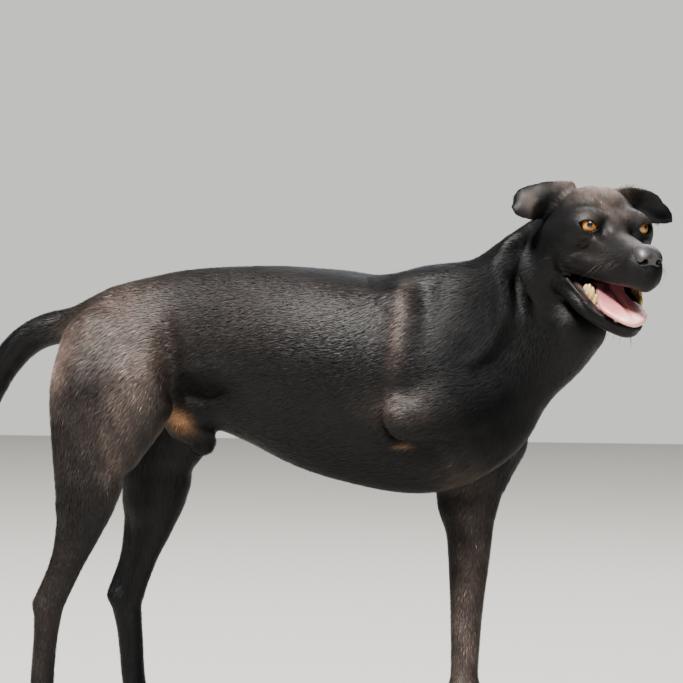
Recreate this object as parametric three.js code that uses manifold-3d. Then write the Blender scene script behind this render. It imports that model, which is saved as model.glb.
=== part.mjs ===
// A short-coated black dog with amber eyes, life size, standing on three legs.
// The right foreleg ends in a healed stump at the elbow. The head is turned to the dog's right,
// with the mouth open and the tongue resting over the lower lip.
// Millimetres. +X is forward, +Y is the dog's left, +Z is up, and the paws rest on Z = 0.
//
// The flesh is one smooth field: tubes and lumps that blend into each other. It is meshed part by part,
// each part at its own fineness, and parted by thin cuts where a person would name the parts.

import * as THREE from "three";
import { mergeVertices } from "three/addons/utils/BufferGeometryUtils.js";
import Module from "manifold-3d";

const wasm = await Module();
wasm.setup();

// ---------------------------------------------------------------- driving sizes

const GAP = 0.3; // clear width of every cut between two parts

const BODY = {
  // Stations from rump to breastbone: place along X, top line, under line and half width.
  trunk: [
    { x: -196, top: 468, bottom: 384, half: 44 },
    { x: -160, top: 485, bottom: 346, half: 58 },
    { x: -110, top: 495, bottom: 330, half: 59 },
    { x: -60, top: 498, bottom: 325, half: 63 },
    { x: -15, top: 498, bottom: 309, half: 70 },
    { x: 35, top: 494, bottom: 286, half: 77 },
    { x: 80, top: 489, bottom: 274, half: 80 },
    { x: 125, top: 492, bottom: 268, half: 78 },
    { x: 155, top: 482, bottom: 282, half: 63 },
    { x: 157, top: 388, bottom: 294, half: 45 },
  ],
  blend: 20,
};

const NECK = {
  nape: [
    { at: [146, 0, 452], deep: 42, wide: 38 },
    { at: [196, -1, 465], deep: 41, wide: 42 },
    { at: [238, -6, 494], deep: 39, wide: 41 },
    { at: [268, -6, 521], deep: 32, wide: 31 },
  ],
  core: [
    { at: [150, 0, 400], deep: 62, wide: 60 },
    { at: [214, -4, 436], deep: 56, wide: 52 },
    { at: [262, -17, 480], deep: 50, wide: 48 },
  ],
  throat: [
    { at: [158, 2, 356], deep: 33, wide: 42 },
    { at: [226, -6, 393], deep: 37, wide: 37 },
    { at: [257, -17, 413], deep: 40, wide: 36 },
    { at: [289, -32, 436], deep: 33, wide: 34 },
  ],
  blend: 16,
};

const HEAD = {
  eyeLine: [340.6, -75, 533], // the point midway between the eyes
  turn: -51, // degrees about Z, to the dog's right
  nod: 9.5, // degrees, nose down
  lean: 2, // degrees, left side down
};

// Everything from here to the tongue is given in the head's own frame: X to the nose, Y left, Z up.
const EYE = { radius: 11, back: -9.5, out: 27, up: -1 };

const NOSE = { at: [74.5, 0, -19], size: [10.5, 13, 11] };

// Ears: rows from root to tip. tall points from each row's middle to its upper edge.
const EARS = {
  right: [
    { at: [-58, -21, 15], tall: [4, 0, 16], thick: 6, cup: 2 },
    { at: [-63, -36, 17], tall: [3, 0, 19.5], thick: 4.5, cup: 5 },
    { at: [-66, -50, 11], tall: [1, 0, 18], thick: 3, cup: 6 },
    { at: [-67, -62, 8], tall: [-5, -1, 13], thick: 2.6, cup: 5 },
    { at: [-66, -71, 5], tall: [-9, -3, 8], thick: 2.3, cup: 3 },
    { at: [-66, -77, 3], tall: [-5, -2, 4], thick: 1.8, cup: 1 },
  ],
  left: [
    { at: [-55, 22, 15], tall: [4, 0, 15], thick: 6, cup: 2 },
    { at: [-52, 36, 16.5], tall: [2, 0, 18], thick: 4.5, cup: 5 },
    { at: [-47, 51, 14.5], tall: [0, 0, 16], thick: 3, cup: 6 },
    { at: [-46, 64, 10], tall: [-3, 0, 12], thick: 2.6, cup: 5 },
    { at: [-48, 76, 6.5], tall: [-5, 2, 8], thick: 2.3, cup: 3 },
    { at: [-49, 83, 4], tall: [-3, 1, 4], thick: 1.8, cup: 1 },
  ],
};

const TONGUE = [
  { at: [-24, 1, -57], tall: [0, 12, 0], thick: 5, cup: -1 },
  { at: [-4, 1, -60], tall: [0, 14.5, 0], thick: 5.5, cup: -2 },
  { at: [16, 1, -64], tall: [0, 16.5, 0], thick: 5, cup: -3 },
  { at: [33, 0, -68], tall: [0, 18, 0], thick: 4.6, cup: -3 },
  { at: [46, 1, -72], tall: [0, 18, 0], thick: 4.2, cup: -2 },
  { at: [54.5, 2, -78], tall: [0, 16.5, 0], thick: 3.8, cup: -1 },
  { at: [57.5, 2, -86], tall: [0, 11, 0], thick: 3, cup: 0 },
];

// Teeth: the middle of the root, height, width at the root and which way the point leans.
const TEETH = {
  lower: (s) => [
    { at: [39, s * 13, -85], tall: 14, wide: 6.5, lean: [0.25, s * 0.35, 1] },
    { at: [24, s * 18, -81], tall: 9, wide: 7, lean: [0, s * 0.2, 1] },
    { at: [13, s * 21, -77], tall: 9, wide: 8, lean: [0, s * 0.2, 1] },
    { at: [3, s * 24, -73], tall: 12, wide: 10, lean: [0, s * 0.2, 1] },
    { at: [-8, s * 27, -67], tall: 8, wide: 9, lean: [0, s * 0.1, 1] },
  ],
  upper: (s) => [
    { at: [62, s * 11, -38], tall: 12, wide: 6.5, lean: [0.1, s * 0.1, -1] },
    { at: [12, s * 24, -44], tall: 12, wide: 11, lean: [0, 0, -1] },
    { at: [-2, s * 26, -44], tall: 10, wide: 9, lean: [0, 0, -1] },
  ],
};

const SKULL = {
  muzzle: [
    { at: [-8, 0, -27], deep: 26, wide: 32 },
    { at: [20, 0, -27.5], deep: 22.5, wide: 26 },
    { at: [48, 0, -27.5], deep: 19, wide: 22 },
    { at: [62, 0, -27], deep: 17.5, wide: 18.5 },
  ],
  flew: (s) => [
    { at: [-22, s * 34, -38], deep: 12, wide: 10 },
    { at: [6, s * 26, -38], deep: 11.5, wide: 9 },
    { at: [28, s * 21, -39], deep: 11.5, wide: 8.5 },
    { at: [50, s * 15, -38.5], deep: 11.5, wide: 8.5 },
    { at: [65, s * 9, -36], deep: 10.5, wide: 8.5 },
    { at: [69, s * 4, -35], deep: 10.5, wide: 8 },
  ],
  jaw: (s) => [
    { at: [-50, s * 36, -48], deep: 18, wide: 14 },
    { at: [-22, s * 31, -63], deep: 12.5, wide: 9.5 },
    { at: [2, s * 24, -76], deep: 10, wide: 8.5 },
    { at: [22, s * 15.5, -83], deep: 8, wide: 8 },
    { at: [38, s * 8, -86], deep: 6.5, wide: 7 },
    { at: [44, s * 2.5, -86.5], deep: 6, wide: 7 },
  ],
};

const TAIL = [
  { at: [-200, 0, 442], deep: 26, wide: 24 },
  { at: [-238, 0, 437], deep: 19.5, wide: 20 },
  { at: [-272, 0, 431], deep: 18, wide: 18 },
  { at: [-296, 0, 419], deep: 17.5, wide: 17.5 },
  { at: [-318, 0, 397], deep: 17, wide: 17 },
  { at: [-336, 0, 368], deep: 16, wide: 16 },
  { at: [-351, 0, 335], deep: 14.5, wide: 14.5 },
  { at: [-364, 0, 296], deep: 12.5, wide: 12.5 },
  { at: [-376, 0, 254], deep: 9.5, wide: 9.5 },
  { at: [-385, 0, 222], deep: 5.5, wide: 5.5 },
];

// Legs: each station's place, its radius fore and aft (deep) and its radius across (wide).
const HIND = {
  right: {
    ham: [
      { at: [-192, -42, 409], deep: 51, wide: 35 },
      { at: [-196, -57, 368], deep: 51, wide: 36 },
      { at: [-202, -63, 310], deep: 40, wide: 31 },
      { at: [-207, -68, 262], deep: 29, wide: 25 },
    ],
    quad: [
      { at: [-152, -44, 405], deep: 42, wide: 30 },
      { at: [-153, -60, 362], deep: 40, wide: 30 },
      { at: [-172, -65, 318], deep: 31, wide: 26 },
    ],
    shank: [
      { at: [-196, -68, 275], deep: 30, wide: 25 },
      { at: [-207, -69, 238], deep: 23, wide: 20 },
      { at: [-220, -70, 200], deep: 15, wide: 15 },
      { at: [-235, -71, 165], deep: 12.5, wide: 13 },
    ],
    tendon: [
      { at: [-226, -68, 252], deep: 8, wide: 9 },
      { at: [-233, -70, 205], deep: 7, wide: 8 },
      { at: [-250, -72, 158], deep: 9, wide: 10.5 },
    ],
    cannon: [
      { at: [-243, -72, 150], deep: 15, wide: 14.5 },
      { at: [-246, -73, 118], deep: 12.5, wide: 13 },
      { at: [-249, -74, 60], deep: 12.5, wide: 14.5 },
      { at: [-243, -75, 34], deep: 13, wide: 16 },
    ],
    paw: { at: [-233, -76], toeOut: -6, scale: 0.92 },
    cuts: { knee: [-184, -66, 300], hock: [-243, -72, 162], foot: [-243, -75, 41] },
  },
  left: {
    ham: [
      { at: [-184, 42, 409], deep: 51, wide: 35 },
      { at: [-186, 55, 368], deep: 51, wide: 36 },
      { at: [-178, 59, 312], deep: 41, wide: 31 },
      { at: [-181, 63, 262], deep: 33, wide: 26 },
    ],
    quad: [
      { at: [-146, 38, 405], deep: 42, wide: 30 },
      { at: [-142, 52, 362], deep: 40, wide: 30 },
      { at: [-150, 60, 318], deep: 32, wide: 26 },
    ],
    shank: [
      { at: [-171, 63, 275], deep: 33, wide: 25 },
      { at: [-181, 64, 234], deep: 25, wide: 20 },
      { at: [-192, 65, 200], deep: 18, wide: 15.5 },
      { at: [-203, 66, 162], deep: 13.5, wide: 13 },
    ],
    tendon: [
      { at: [-203, 63, 250], deep: 8, wide: 9 },
      { at: [-209, 64, 200], deep: 7, wide: 8 },
      { at: [-223, 66, 156], deep: 9, wide: 10.5 },
    ],
    cannon: [
      { at: [-211, 66, 148], deep: 17, wide: 14.5 },
      { at: [-207, 66, 118], deep: 14, wide: 13 },
      { at: [-202, 66, 62], deep: 12.5, wide: 14.5 },
      { at: [-195, 66, 34], deep: 13, wide: 16 },
    ],
    paw: { at: [-184, 66], toeOut: 6, scale: 0.92 },
    cuts: { knee: [-162, 61, 300], hock: [-210, 66, 160], foot: [-195, 66, 41] },
  },
};

const FORE = {
  shoulder: [
    { at: [116, 34, 452], deep: 26, wide: 20 },
    { at: [148, 47, 400], deep: 40, wide: 29 },
    { at: [186, 48, 326], deep: 34, wide: 29 },
  ],
  arm: [
    { at: [189, 47, 322], deep: 33, wide: 29 },
    { at: [170, 50, 288], deep: 35, wide: 26 },
    { at: [158, 49, 256], deep: 26, wide: 22 },
  ],
  elbow: [
    { at: [126, 52, 340], deep: 28, wide: 21 },
    { at: [143, 50, 264], deep: 11, wide: 14 },
  ],
  forearm: [
    { at: [164, 46, 252], deep: 27, wide: 22 },
    { at: [165, 39, 205], deep: 22, wide: 19 },
    { at: [165, 29, 150], deep: 17, wide: 16 },
    { at: [165.5, 20, 96], deep: 14.5, wide: 15 },
    { at: [166, 16, 72], deep: 15.5, wide: 17 },
  ],
  pastern: [
    { at: [166, 16, 72], deep: 15, wide: 16.5 },
    { at: [170, 13, 50], deep: 13, wide: 16 },
    { at: [175, 11, 34], deep: 14, wide: 18 },
  ],
  carpalPad: { at: [152, 16, 56], size: [6, 7, 7] },
  dewclaw: { at: [163, 0, 60], lean: [0.4, -0.35, -0.85] },
  paw: { at: [185, 10], toeOut: 2, scale: 1 },
  cuts: { elbow: [158, 50, 268], wrist: [166, 16, 78], foot: [175, 11, 42] },
};

const STUMP = {
  shoulder: [
    { at: [118, -34, 452], deep: 26, wide: 20 },
    { at: [140, -48, 405], deep: 38, wide: 29 },
    { at: [168, -52, 372], deep: 38, wide: 30 },
  ],
  arm: [
    { at: [196, -42, 370], deep: 37, wide: 30 },
    { at: [164, -61, 353], deep: 29, wide: 26 },
    { at: [134, -73, 346], deep: 23, wide: 20 },
  ],
  blend: 14,
};

const SHEATH = [
  { at: [-122, 0, 338], deep: 22, wide: 20 },
  { at: [-107, 0, 328], deep: 18, wide: 15 },
  { at: [-104, 0, 319], deep: 16, wide: 14 },
];

// The paw, before it is scaled: toes side by side, each from knuckle to pad.
const PAW = { spread: 12.5, outerBack: 7, pad: [15, 17, 10], claw: { tall: 17, wide: 6.4 } };

// ---------------------------------------------------------------- fields: negative inside, in millimetres

const v3 = (a) => new THREE.Vector3(a[0], a[1], a[2]);

// A tube through the stations, with an upright elliptical section that changes smoothly along it.
function tube(stations, steps = 4) {
  const path = new THREE.CatmullRomCurve3(stations.map((s) => v3(s.at)), false, "centripetal");
  const radii = new THREE.CatmullRomCurve3(
    stations.map((s, i) => new THREE.Vector3(s.deep, s.wide, 20 * i)),
  );
  const count = (stations.length - 1) * steps;
  const knots = [];
  for (let i = 0; i <= count; i++) {
    knots.push({ p: path.getPoint(i / count), r: radii.getPoint(i / count) });
  }
  return (x, y, z) => {
    let best = Infinity;
    for (let i = 0; i < count; i++) {
      const a = knots[i];
      const b = knots[i + 1];
      const ex = b.p.x - a.p.x;
      const ey = b.p.y - a.p.y;
      const ez = b.p.z - a.p.z;
      const along = (x - a.p.x) * ex + (y - a.p.y) * ey + (z - a.p.z) * ez;
      const t = Math.min(1, Math.max(0, along / (ex * ex + ey * ey + ez * ez)));
      const deep = a.r.x + t * (b.r.x - a.r.x);
      const wide = a.r.y + t * (b.r.y - a.r.y);
      const dx = x - a.p.x - t * ex;
      const dy = ((y - a.p.y - t * ey) * deep) / wide;
      const dz = z - a.p.z - t * ez;
      const d = (Math.sqrt(dx * dx + dy * dy + dz * dz) - deep) * Math.min(1, wide / deep);
      if (d < best) best = d;
    }
    return best;
  };
}

// An ellipsoid, turned about Y by pitch degrees and then about Z by yaw degrees.
function lump(at, size, yaw = 0, pitch = 0) {
  const turn = new THREE.Matrix4().makeRotationZ(THREE.MathUtils.degToRad(yaw));
  turn.multiply(new THREE.Matrix4().makeRotationY(THREE.MathUtils.degToRad(pitch)));
  const m = turn.transpose().elements;
  return (x, y, z) => {
    const dx = x - at[0];
    const dy = y - at[1];
    const dz = z - at[2];
    const u = (m[0] * dx + m[4] * dy + m[8] * dz) / size[0];
    const v = (m[1] * dx + m[5] * dy + m[9] * dz) / size[1];
    const w = (m[2] * dx + m[6] * dy + m[10] * dz) / size[2];
    const k0 = Math.sqrt(u * u + v * v + w * w);
    const k1 = Math.sqrt((u / size[0]) ** 2 + (v / size[1]) ** 2 + (w / size[2]) ** 2);
    return k1 < 1e-9 ? -Math.min(...size) : (k0 * (k0 - 1)) / k1;
  };
}

const softMin = (a, b, k) => {
  const h = Math.max(k - Math.abs(a - b), 0) / k;
  return Math.min(a, b) - (h * h * k) / 4;
};

// Joins fields with a fillet of about k.
const blend = (k, ...fields) => (x, y, z) => {
  let d = fields[0](x, y, z);
  for (let i = 1; i < fields.length; i++) d = softMin(d, fields[i](x, y, z), k);
  return d;
};

// Takes field b out of field a, with a rounded edge of about k.
const carve = (k, a, b) => (x, y, z) => -softMin(-a(x, y, z), b(x, y, z), k);

const bothSides = (make) => [make(-1), make(1)];

// ---------------------------------------------------------------- the head, in its own frame

const headFrame = new THREE.Matrix4()
  .makeTranslation(v3(HEAD.eyeLine))
  .multiply(new THREE.Matrix4().makeRotationZ(THREE.MathUtils.degToRad(HEAD.turn)))
  .multiply(new THREE.Matrix4().makeRotationY(THREE.MathUtils.degToRad(HEAD.nod)))
  .multiply(new THREE.Matrix4().makeRotationX(THREE.MathUtils.degToRad(-HEAD.lean)));
const headInverse = headFrame.clone().invert();

// A field given in the head's frame, read in the body's.
const inHead = (field) => {
  const m = headInverse.elements;
  return (x, y, z) =>
    field(
      m[0] * x + m[4] * y + m[8] * z + m[12],
      m[1] * x + m[5] * y + m[9] * z + m[13],
      m[2] * x + m[6] * y + m[10] * z + m[14],
    );
};

const headPoint = (p) => v3(p).applyMatrix4(headFrame);

const cranium = blend(
  12,
  lump([-46, 0, -4], [38, 41, 35]),
  lump([-74, 0, -10], [33, 39, 32]),
  lump([-14, 0, -5], [22, 29, 15]),
  ...bothSides((s) => lump([-15, s * 28, -2], [19, 15, 14.5], s * 10)),
  ...bothSides((s) => lump([-34, s * 30, -14], [33, 18.5, 22], s * 5)),
  ...bothSides((s) => lump([-56, s * 31, -35], [34, 21, 36])),
);
const brows = bothSides((s) => lump([-8, s * 19, 6], [12, 11, 7], s * -20));
const muzzle = blend(
  9,
  tube(SKULL.muzzle),
  ...bothSides((s) => tube(SKULL.flew(s))),
);
const sockets = bothSides((s) => lump([4, s * 32, -1], [9.5, 12, 9], s * 25));
const palate = lump([30, 0, -59], [50, 15, 14], 0, 4);

const skull = [palate, ...sockets].reduce((a, b) => carve(3, a, b), blend(9, cranium, muzzle, ...brows));

const jaw = carve(
  3,
  blend(8, ...bothSides((s) => tube(SKULL.jaw(s))), lump([15, 0, -86], [33, 15, 8], 0, 12)),
  lump([8, 0, -64], [44, 14, 9], 0, 12),
);

const headField = inHead(blend(6, skull, jaw));

// ---------------------------------------------------------------- the body

const trunk = tube(
  BODY.trunk.map((s) => ({
    at: [s.x, 0, (s.top + s.bottom) / 2],
    deep: (s.top - s.bottom) / 2,
    wide: s.half,
  })),
  5,
);
const neck = blend(NECK.blend, tube(NECK.nape), tube(NECK.core), tube(NECK.throat));

const hindLeg = (leg) =>
  blend(
    9,
    blend(14, tube(leg.ham), tube(leg.quad)),
    blend(7, tube(leg.shank), tube(leg.tendon)),
    tube(leg.cannon),
  );

// A place on a paw, from its own frame: X to the toes, Y left, Z up from the floor.
function onPaw({ at, toeOut, scale }, x, y, z) {
  const turn = THREE.MathUtils.degToRad(toeOut);
  return [
    at[0] + scale * (x * Math.cos(turn) - y * Math.sin(turn)),
    at[1] + scale * (x * Math.sin(turn) + y * Math.cos(turn)),
    scale * z,
  ];
}

const TOES = [-1.5, -0.5, 0.5, 1.5].map((n) => ({
  y: n * PAW.spread,
  back: Math.abs(n) > 1 ? PAW.outerBack : 0,
}));

// Four toes, the web over them and the main pad.
function paw(foot) {
  const k = foot.scale;
  const toes = TOES.map(({ y, back }) =>
    tube(
      [
        { at: onPaw(foot, -12, y * 0.7, 27), deep: 10 * k, wide: 9 * k },
        { at: onPaw(foot, 8 - back, y, 23), deep: 10 * k, wide: 8.4 * k },
        { at: onPaw(foot, 22 - back, y * 1.05, 14), deep: 9 * k, wide: 7.8 * k },
        { at: onPaw(foot, 26 - back, y * 1.05, 7), deep: 8 * k, wide: 7.6 * k },
      ],
      3,
    ),
  );
  const web = lump(onPaw(foot, 2, 0, 18), [24 * k, 23 * k, 13 * k], foot.toeOut);
  const pad = lump(onPaw(foot, -6, 0, 8), PAW.pad.map((c) => c * k), foot.toeOut);
  return blend(3.5, ...toes, web, pad);
}

const legs = {
  hindRight: blend(8, hindLeg(HIND.right), paw(HIND.right.paw)),
  hindLeft: blend(8, hindLeg(HIND.left), paw(HIND.left.paw)),
  foreLeft: blend(
    8,
    blend(12, tube(FORE.shoulder), tube(FORE.arm), tube(FORE.elbow), tube(FORE.forearm)),
    tube(FORE.pastern),
    lump(FORE.carpalPad.at, FORE.carpalPad.size),
    paw(FORE.paw),
  ),
};
const stump = blend(STUMP.blend, tube(STUMP.shoulder), tube(STUMP.arm));

const body = blend(BODY.blend, trunk, neck, tube(TAIL));
const withLegs = blend(14, body, legs.hindRight, legs.hindLeft, legs.foreLeft);
const flesh = blend(8, blend(12, withLegs, headField), stump, tube(SHEATH));

// ---------------------------------------------------------------- meshing and cutting

// Meshes a field in a box with surface nets: one vertex in each cell that the surface crosses,
// moved onto it.
function meshOf(field, low, high, cell) {
  const size = typeof cell === "number" ? [cell, cell, cell] : cell;
  const n = [0, 1, 2].map((i) => Math.ceil((high[i] - low[i]) / size[i]) + 1);
  const index = (i, j, k) => (k * n[1] + j) * n[0] + i;
  const value = new Float32Array(n[0] * n[1] * n[2]);
  for (let k = 0; k < n[2]; k++) {
    for (let j = 0; j < n[1]; j++) {
      for (let i = 0; i < n[0]; i++) {
        const edge = i === 0 || j === 0 || k === 0 || i === n[0] - 1 || j === n[1] - 1 || k === n[2] - 1;
        const d = field(low[0] + i * size[0], low[1] + j * size[1], low[2] + k * size[2]);
        value[index(i, j, k)] = edge ? Math.max(d, 0.01) : d;
      }
    }
  }
  clearCheckers(value, n);
  const corner = [];
  for (let c = 0; c < 8; c++) corner.push([c & 1, (c >> 1) & 1, (c >> 2) & 1]);
  const cellVertex = new Int32Array(value.length).fill(-1);
  const points = [];
  for (let k = 0; k < n[2] - 1; k++) {
    for (let j = 0; j < n[1] - 1; j++) {
      for (let i = 0; i < n[0] - 1; i++) {
        const sum = [0, 0, 0];
        let crossings = 0;
        for (let a = 0; a < 8; a++) {
          for (let axis = 0; axis < 3; axis++) {
            if (corner[a][axis]) continue;
            const b = a | (1 << axis);
            const va = value[index(i + corner[a][0], j + corner[a][1], k + corner[a][2])];
            const vb = value[index(i + corner[b][0], j + corner[b][1], k + corner[b][2])];
            if (va < 0 === vb < 0) continue;
            const t = va / (va - vb);
            for (let m = 0; m < 3; m++) sum[m] += corner[a][m] + t * (corner[b][m] - corner[a][m]);
            crossings++;
          }
        }
        if (!crossings) continue;
        const p = [i, j, k].map((c, m) => low[m] + (c + sum[m] / crossings) * size[m]);
        cellVertex[index(i, j, k)] = points.length;
        points.push(settle(field, p, Math.min(...size) * 0.45));
      }
    }
  }
  const triangles = [];
  const quad = (a, b, c, d, flip) => {
    const [p, q, r, s] = [a, b, c, d].map((v) => points[v]);
    const gap = (u, w) => (u[0] - w[0]) ** 2 + (u[1] - w[1]) ** 2 + (u[2] - w[2]) ** 2;
    const faces = gap(p, r) < gap(q, s) ? [[a, b, c], [a, c, d]] : [[a, b, d], [b, c, d]];
    for (const f of faces) triangles.push(...(flip ? [f[0], f[2], f[1]] : f));
  };
  for (let k = 0; k < n[2] - 1; k++) {
    for (let j = 0; j < n[1] - 1; j++) {
      for (let i = 0; i < n[0] - 1; i++) {
        const here = value[index(i, j, k)] < 0;
        const cells = (di, dj, dk) => cellVertex[index(i - di, j - dj, k - dk)];
        if (here !== value[index(i + 1, j, k)] < 0)
          quad(cells(0, 1, 1), cells(0, 0, 1), cells(0, 0, 0), cells(0, 1, 0), !here);
        if (here !== value[index(i, j + 1, k)] < 0)
          quad(cells(1, 0, 1), cells(1, 0, 0), cells(0, 0, 0), cells(0, 0, 1), !here);
        if (here !== value[index(i, j, k + 1)] < 0)
          quad(cells(1, 1, 0), cells(0, 1, 0), cells(0, 0, 0), cells(1, 0, 0), !here);
      }
    }
  }
  const geometry = new THREE.BufferGeometry();
  geometry.setAttribute("position", new THREE.Float32BufferAttribute(points.flat(), 3));
  geometry.setIndex(triangles);
  return solidOf(geometry);
}

// A grid face whose corners go in, out, in, out would pinch the surface, so its nearer outside
// corner is let in.
function clearCheckers(value, n) {
  const stride = [1, n[0], n[0] * n[1]];
  let again = true;
  while (again) {
    again = false;
    for (const [u, w] of [[stride[0], stride[1]], [stride[1], stride[2]], [stride[2], stride[0]]]) {
      for (let a = 0; a + u + w < value.length; a++) {
        const ring = [a, a + u, a + u + w, a + w];
        const inside = ring.map((c) => value[c] < 0);
        if (inside[0] !== inside[2] || inside[1] !== inside[3] || inside[0] === inside[1]) continue;
        const out = inside[0] ? [ring[1], ring[3]] : [ring[0], ring[2]];
        value[value[out[0]] < value[out[1]] ? out[0] : out[1]] = -0.01;
        again = true;
      }
    }
  }
}

// Moves a point onto the field's surface, by no more than most.
function settle(field, p, most) {
  const e = 0.2;
  let q = [...p];
  for (let step = 0; step < 3; step++) {
    const d = field(...q);
    const g = [0, 1, 2].map((m) => {
      const up = [...q];
      const down = [...q];
      up[m] += e;
      down[m] -= e;
      return (field(...up) - field(...down)) / (2 * e);
    });
    const gg = g[0] ** 2 + g[1] ** 2 + g[2] ** 2;
    if (gg < 0.05) break;
    q = q.map((c, m) => Math.min(p[m] + most, Math.max(p[m] - most, c - (d * g[m]) / gg)));
  }
  return q;
}

function solidOf(geometry) {
  const bare = geometry.index ? geometry.toNonIndexed() : geometry.clone();
  const only = new THREE.BufferGeometry().setAttribute("position", bare.getAttribute("position"));
  const merged = mergeVertices(only, 1e-4);
  return new wasm.Manifold(
    new wasm.Mesh({
      numProp: 3,
      vertProperties: new Float32Array(merged.attributes.position.array),
      triVerts: new Uint32Array(merged.index.array),
    }),
  );
}

function geometryOf(solid) {
  const mesh = solid.getMesh();
  const points = [];
  for (let i = 0; i < mesh.numVert; i++) {
    for (let m = 0; m < 3; m++) points.push(mesh.vertProperties[i * mesh.numProp + m]);
  }
  const geometry = new THREE.BufferGeometry();
  geometry.setAttribute("position", new THREE.Float32BufferAttribute(points, 3));
  geometry.setIndex([...mesh.triVerts]);
  return geometry;
}

// All space on the side of a plane that its normal points to, as a block with the given gap to the plane.
function beyond(at, normal, gap = GAP / 2) {
  const reach = 900;
  const block = new THREE.BoxGeometry(reach, reach, reach);
  block.translate(0, 0, reach / 2 + gap);
  const up = new THREE.Vector3(0, 0, 1);
  block.applyQuaternion(new THREE.Quaternion().setFromUnitVectors(up, v3(normal).normalize()));
  block.translate(...at);
  return solidOf(block);
}

const biggest = (solid) => solid.decompose().sort((a, b) => b.volume() - a.volume())[0];

// The space that is beyond every one of the planes.
const within = (planes, gap) =>
  planes.map((p) => beyond(p.at, p.normal, gap)).reduce((a, b) => a.intersect(b));

const opposite = (plane) => ({ at: plane.at, normal: plane.normal.map((c) => -c) });

// A leaf in the head's frame: flat oval sections from root to tip, cupped. grow makes it fatter all round.
function leaf(rows, grow = 0, round = 10) {
  const spine = rows.map((r) => v3(r.at));
  const last = rows.length - 1;
  const points = [];
  rows.forEach((row, i) => {
    const ahead = spine[Math.min(i + 1, last)].clone().sub(spine[Math.max(i - 1, 0)]).normalize();
    const tall = v3(row.tall);
    const flat = new THREE.Vector3().crossVectors(ahead, tall).normalize();
    for (let j = 0; j < round; j++) {
      const turn = (2 * Math.PI * j) / round;
      const up = Math.sin(turn) * (1 + grow / tall.length());
      const side = Math.cos(turn) * (row.thick + grow) + row.cup * (2 * up ** 2 - 1);
      points.push(spine[i].clone().addScaledVector(tall, up).addScaledVector(flat, side));
    }
  });
  const ends = [spine[0].clone().sub(spine[1]), spine[last].clone().sub(spine[last - 1])];
  const middles = [0, last].map((i) =>
    points
      .slice(i * round, (i + 1) * round)
      .reduce((sum, p) => sum.addScaledVector(p, 1 / round), new THREE.Vector3()),
  );
  points.push(middles[0].addScaledVector(ends[0].normalize(), grow));
  points.push(middles[1].addScaledVector(ends[1].normalize(), rows[last].thick + grow));
  const faces = [];
  for (let j = 0; j < round; j++) {
    const k = (j + 1) % round;
    for (let i = 0; i < last; i++) {
      const [a, b, c, d] = [i * round + j, i * round + k, (i + 1) * round + k, (i + 1) * round + j];
      faces.push(a, c, b, a, d, c);
    }
    faces.push(points.length - 2, j, k, points.length - 1, last * round + k, last * round + j);
  }
  const geometry = new THREE.BufferGeometry();
  const places = points.flatMap((p) => p.toArray());
  geometry.setAttribute("position", new THREE.Float32BufferAttribute(places, 3));
  geometry.setIndex(faces);
  geometry.applyMatrix4(headFrame);
  return solidOf(geometry);
}

// A ball or egg in the head's frame.
function egg(at, size, around = 10) {
  const geometry = new THREE.SphereGeometry(1, around, around / 2 + 2);
  geometry.scale(...size);
  geometry.translate(...at);
  geometry.applyMatrix4(headFrame);
  return solidOf(geometry);
}

// A pointed tooth or claw: the middle of its root, its height, its width at the root and the way it points.
function spike({ at, tall, wide, lean }, frame, grow = 0) {
  const geometry = new THREE.ConeGeometry(wide / 2 + grow, tall + 2 * grow, 6);
  geometry.translate(0, tall / 2, 0);
  const turn = new THREE.Quaternion().setFromUnitVectors(new THREE.Vector3(0, 1, 0), v3(lean).normalize());
  geometry.applyQuaternion(turn);
  geometry.translate(...at);
  if (frame) geometry.applyMatrix4(frame);
  return solidOf(geometry);
}

// ---------------------------------------------------------------- where the parts meet

const headPlane = (at, normal) => ({
  at: headPoint(at).toArray(),
  normal: v3(normal).transformDirection(headFrame).toArray(),
});

const CUTS = {
  floor: { at: [0, 0, 0], normal: [0, 0, 1] },
  neck: { at: [178, 0, 430], normal: [0.9, 0, 0.44] },
  head: headPlane([-78, 0, -30], [0.93, 0, 0.37]),
  jaw: headPlane([-20, 0, -54], [-0.1, 0, -1]),
  throat: headPlane([-78, 0, -44], [0.57, 0, 0.82]),
  chest: { at: [25, 0, 400], normal: [1, 0, 0] },
  rump: { at: [-105, 0, 400], normal: [-1, 0, 0] },
  tail: { at: [-250, 0, 398], normal: [-1, 0, 0.35] },
  tailTip: { at: [-340, 0, 358], normal: [-0.45, 0, -0.9] },
};

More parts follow.
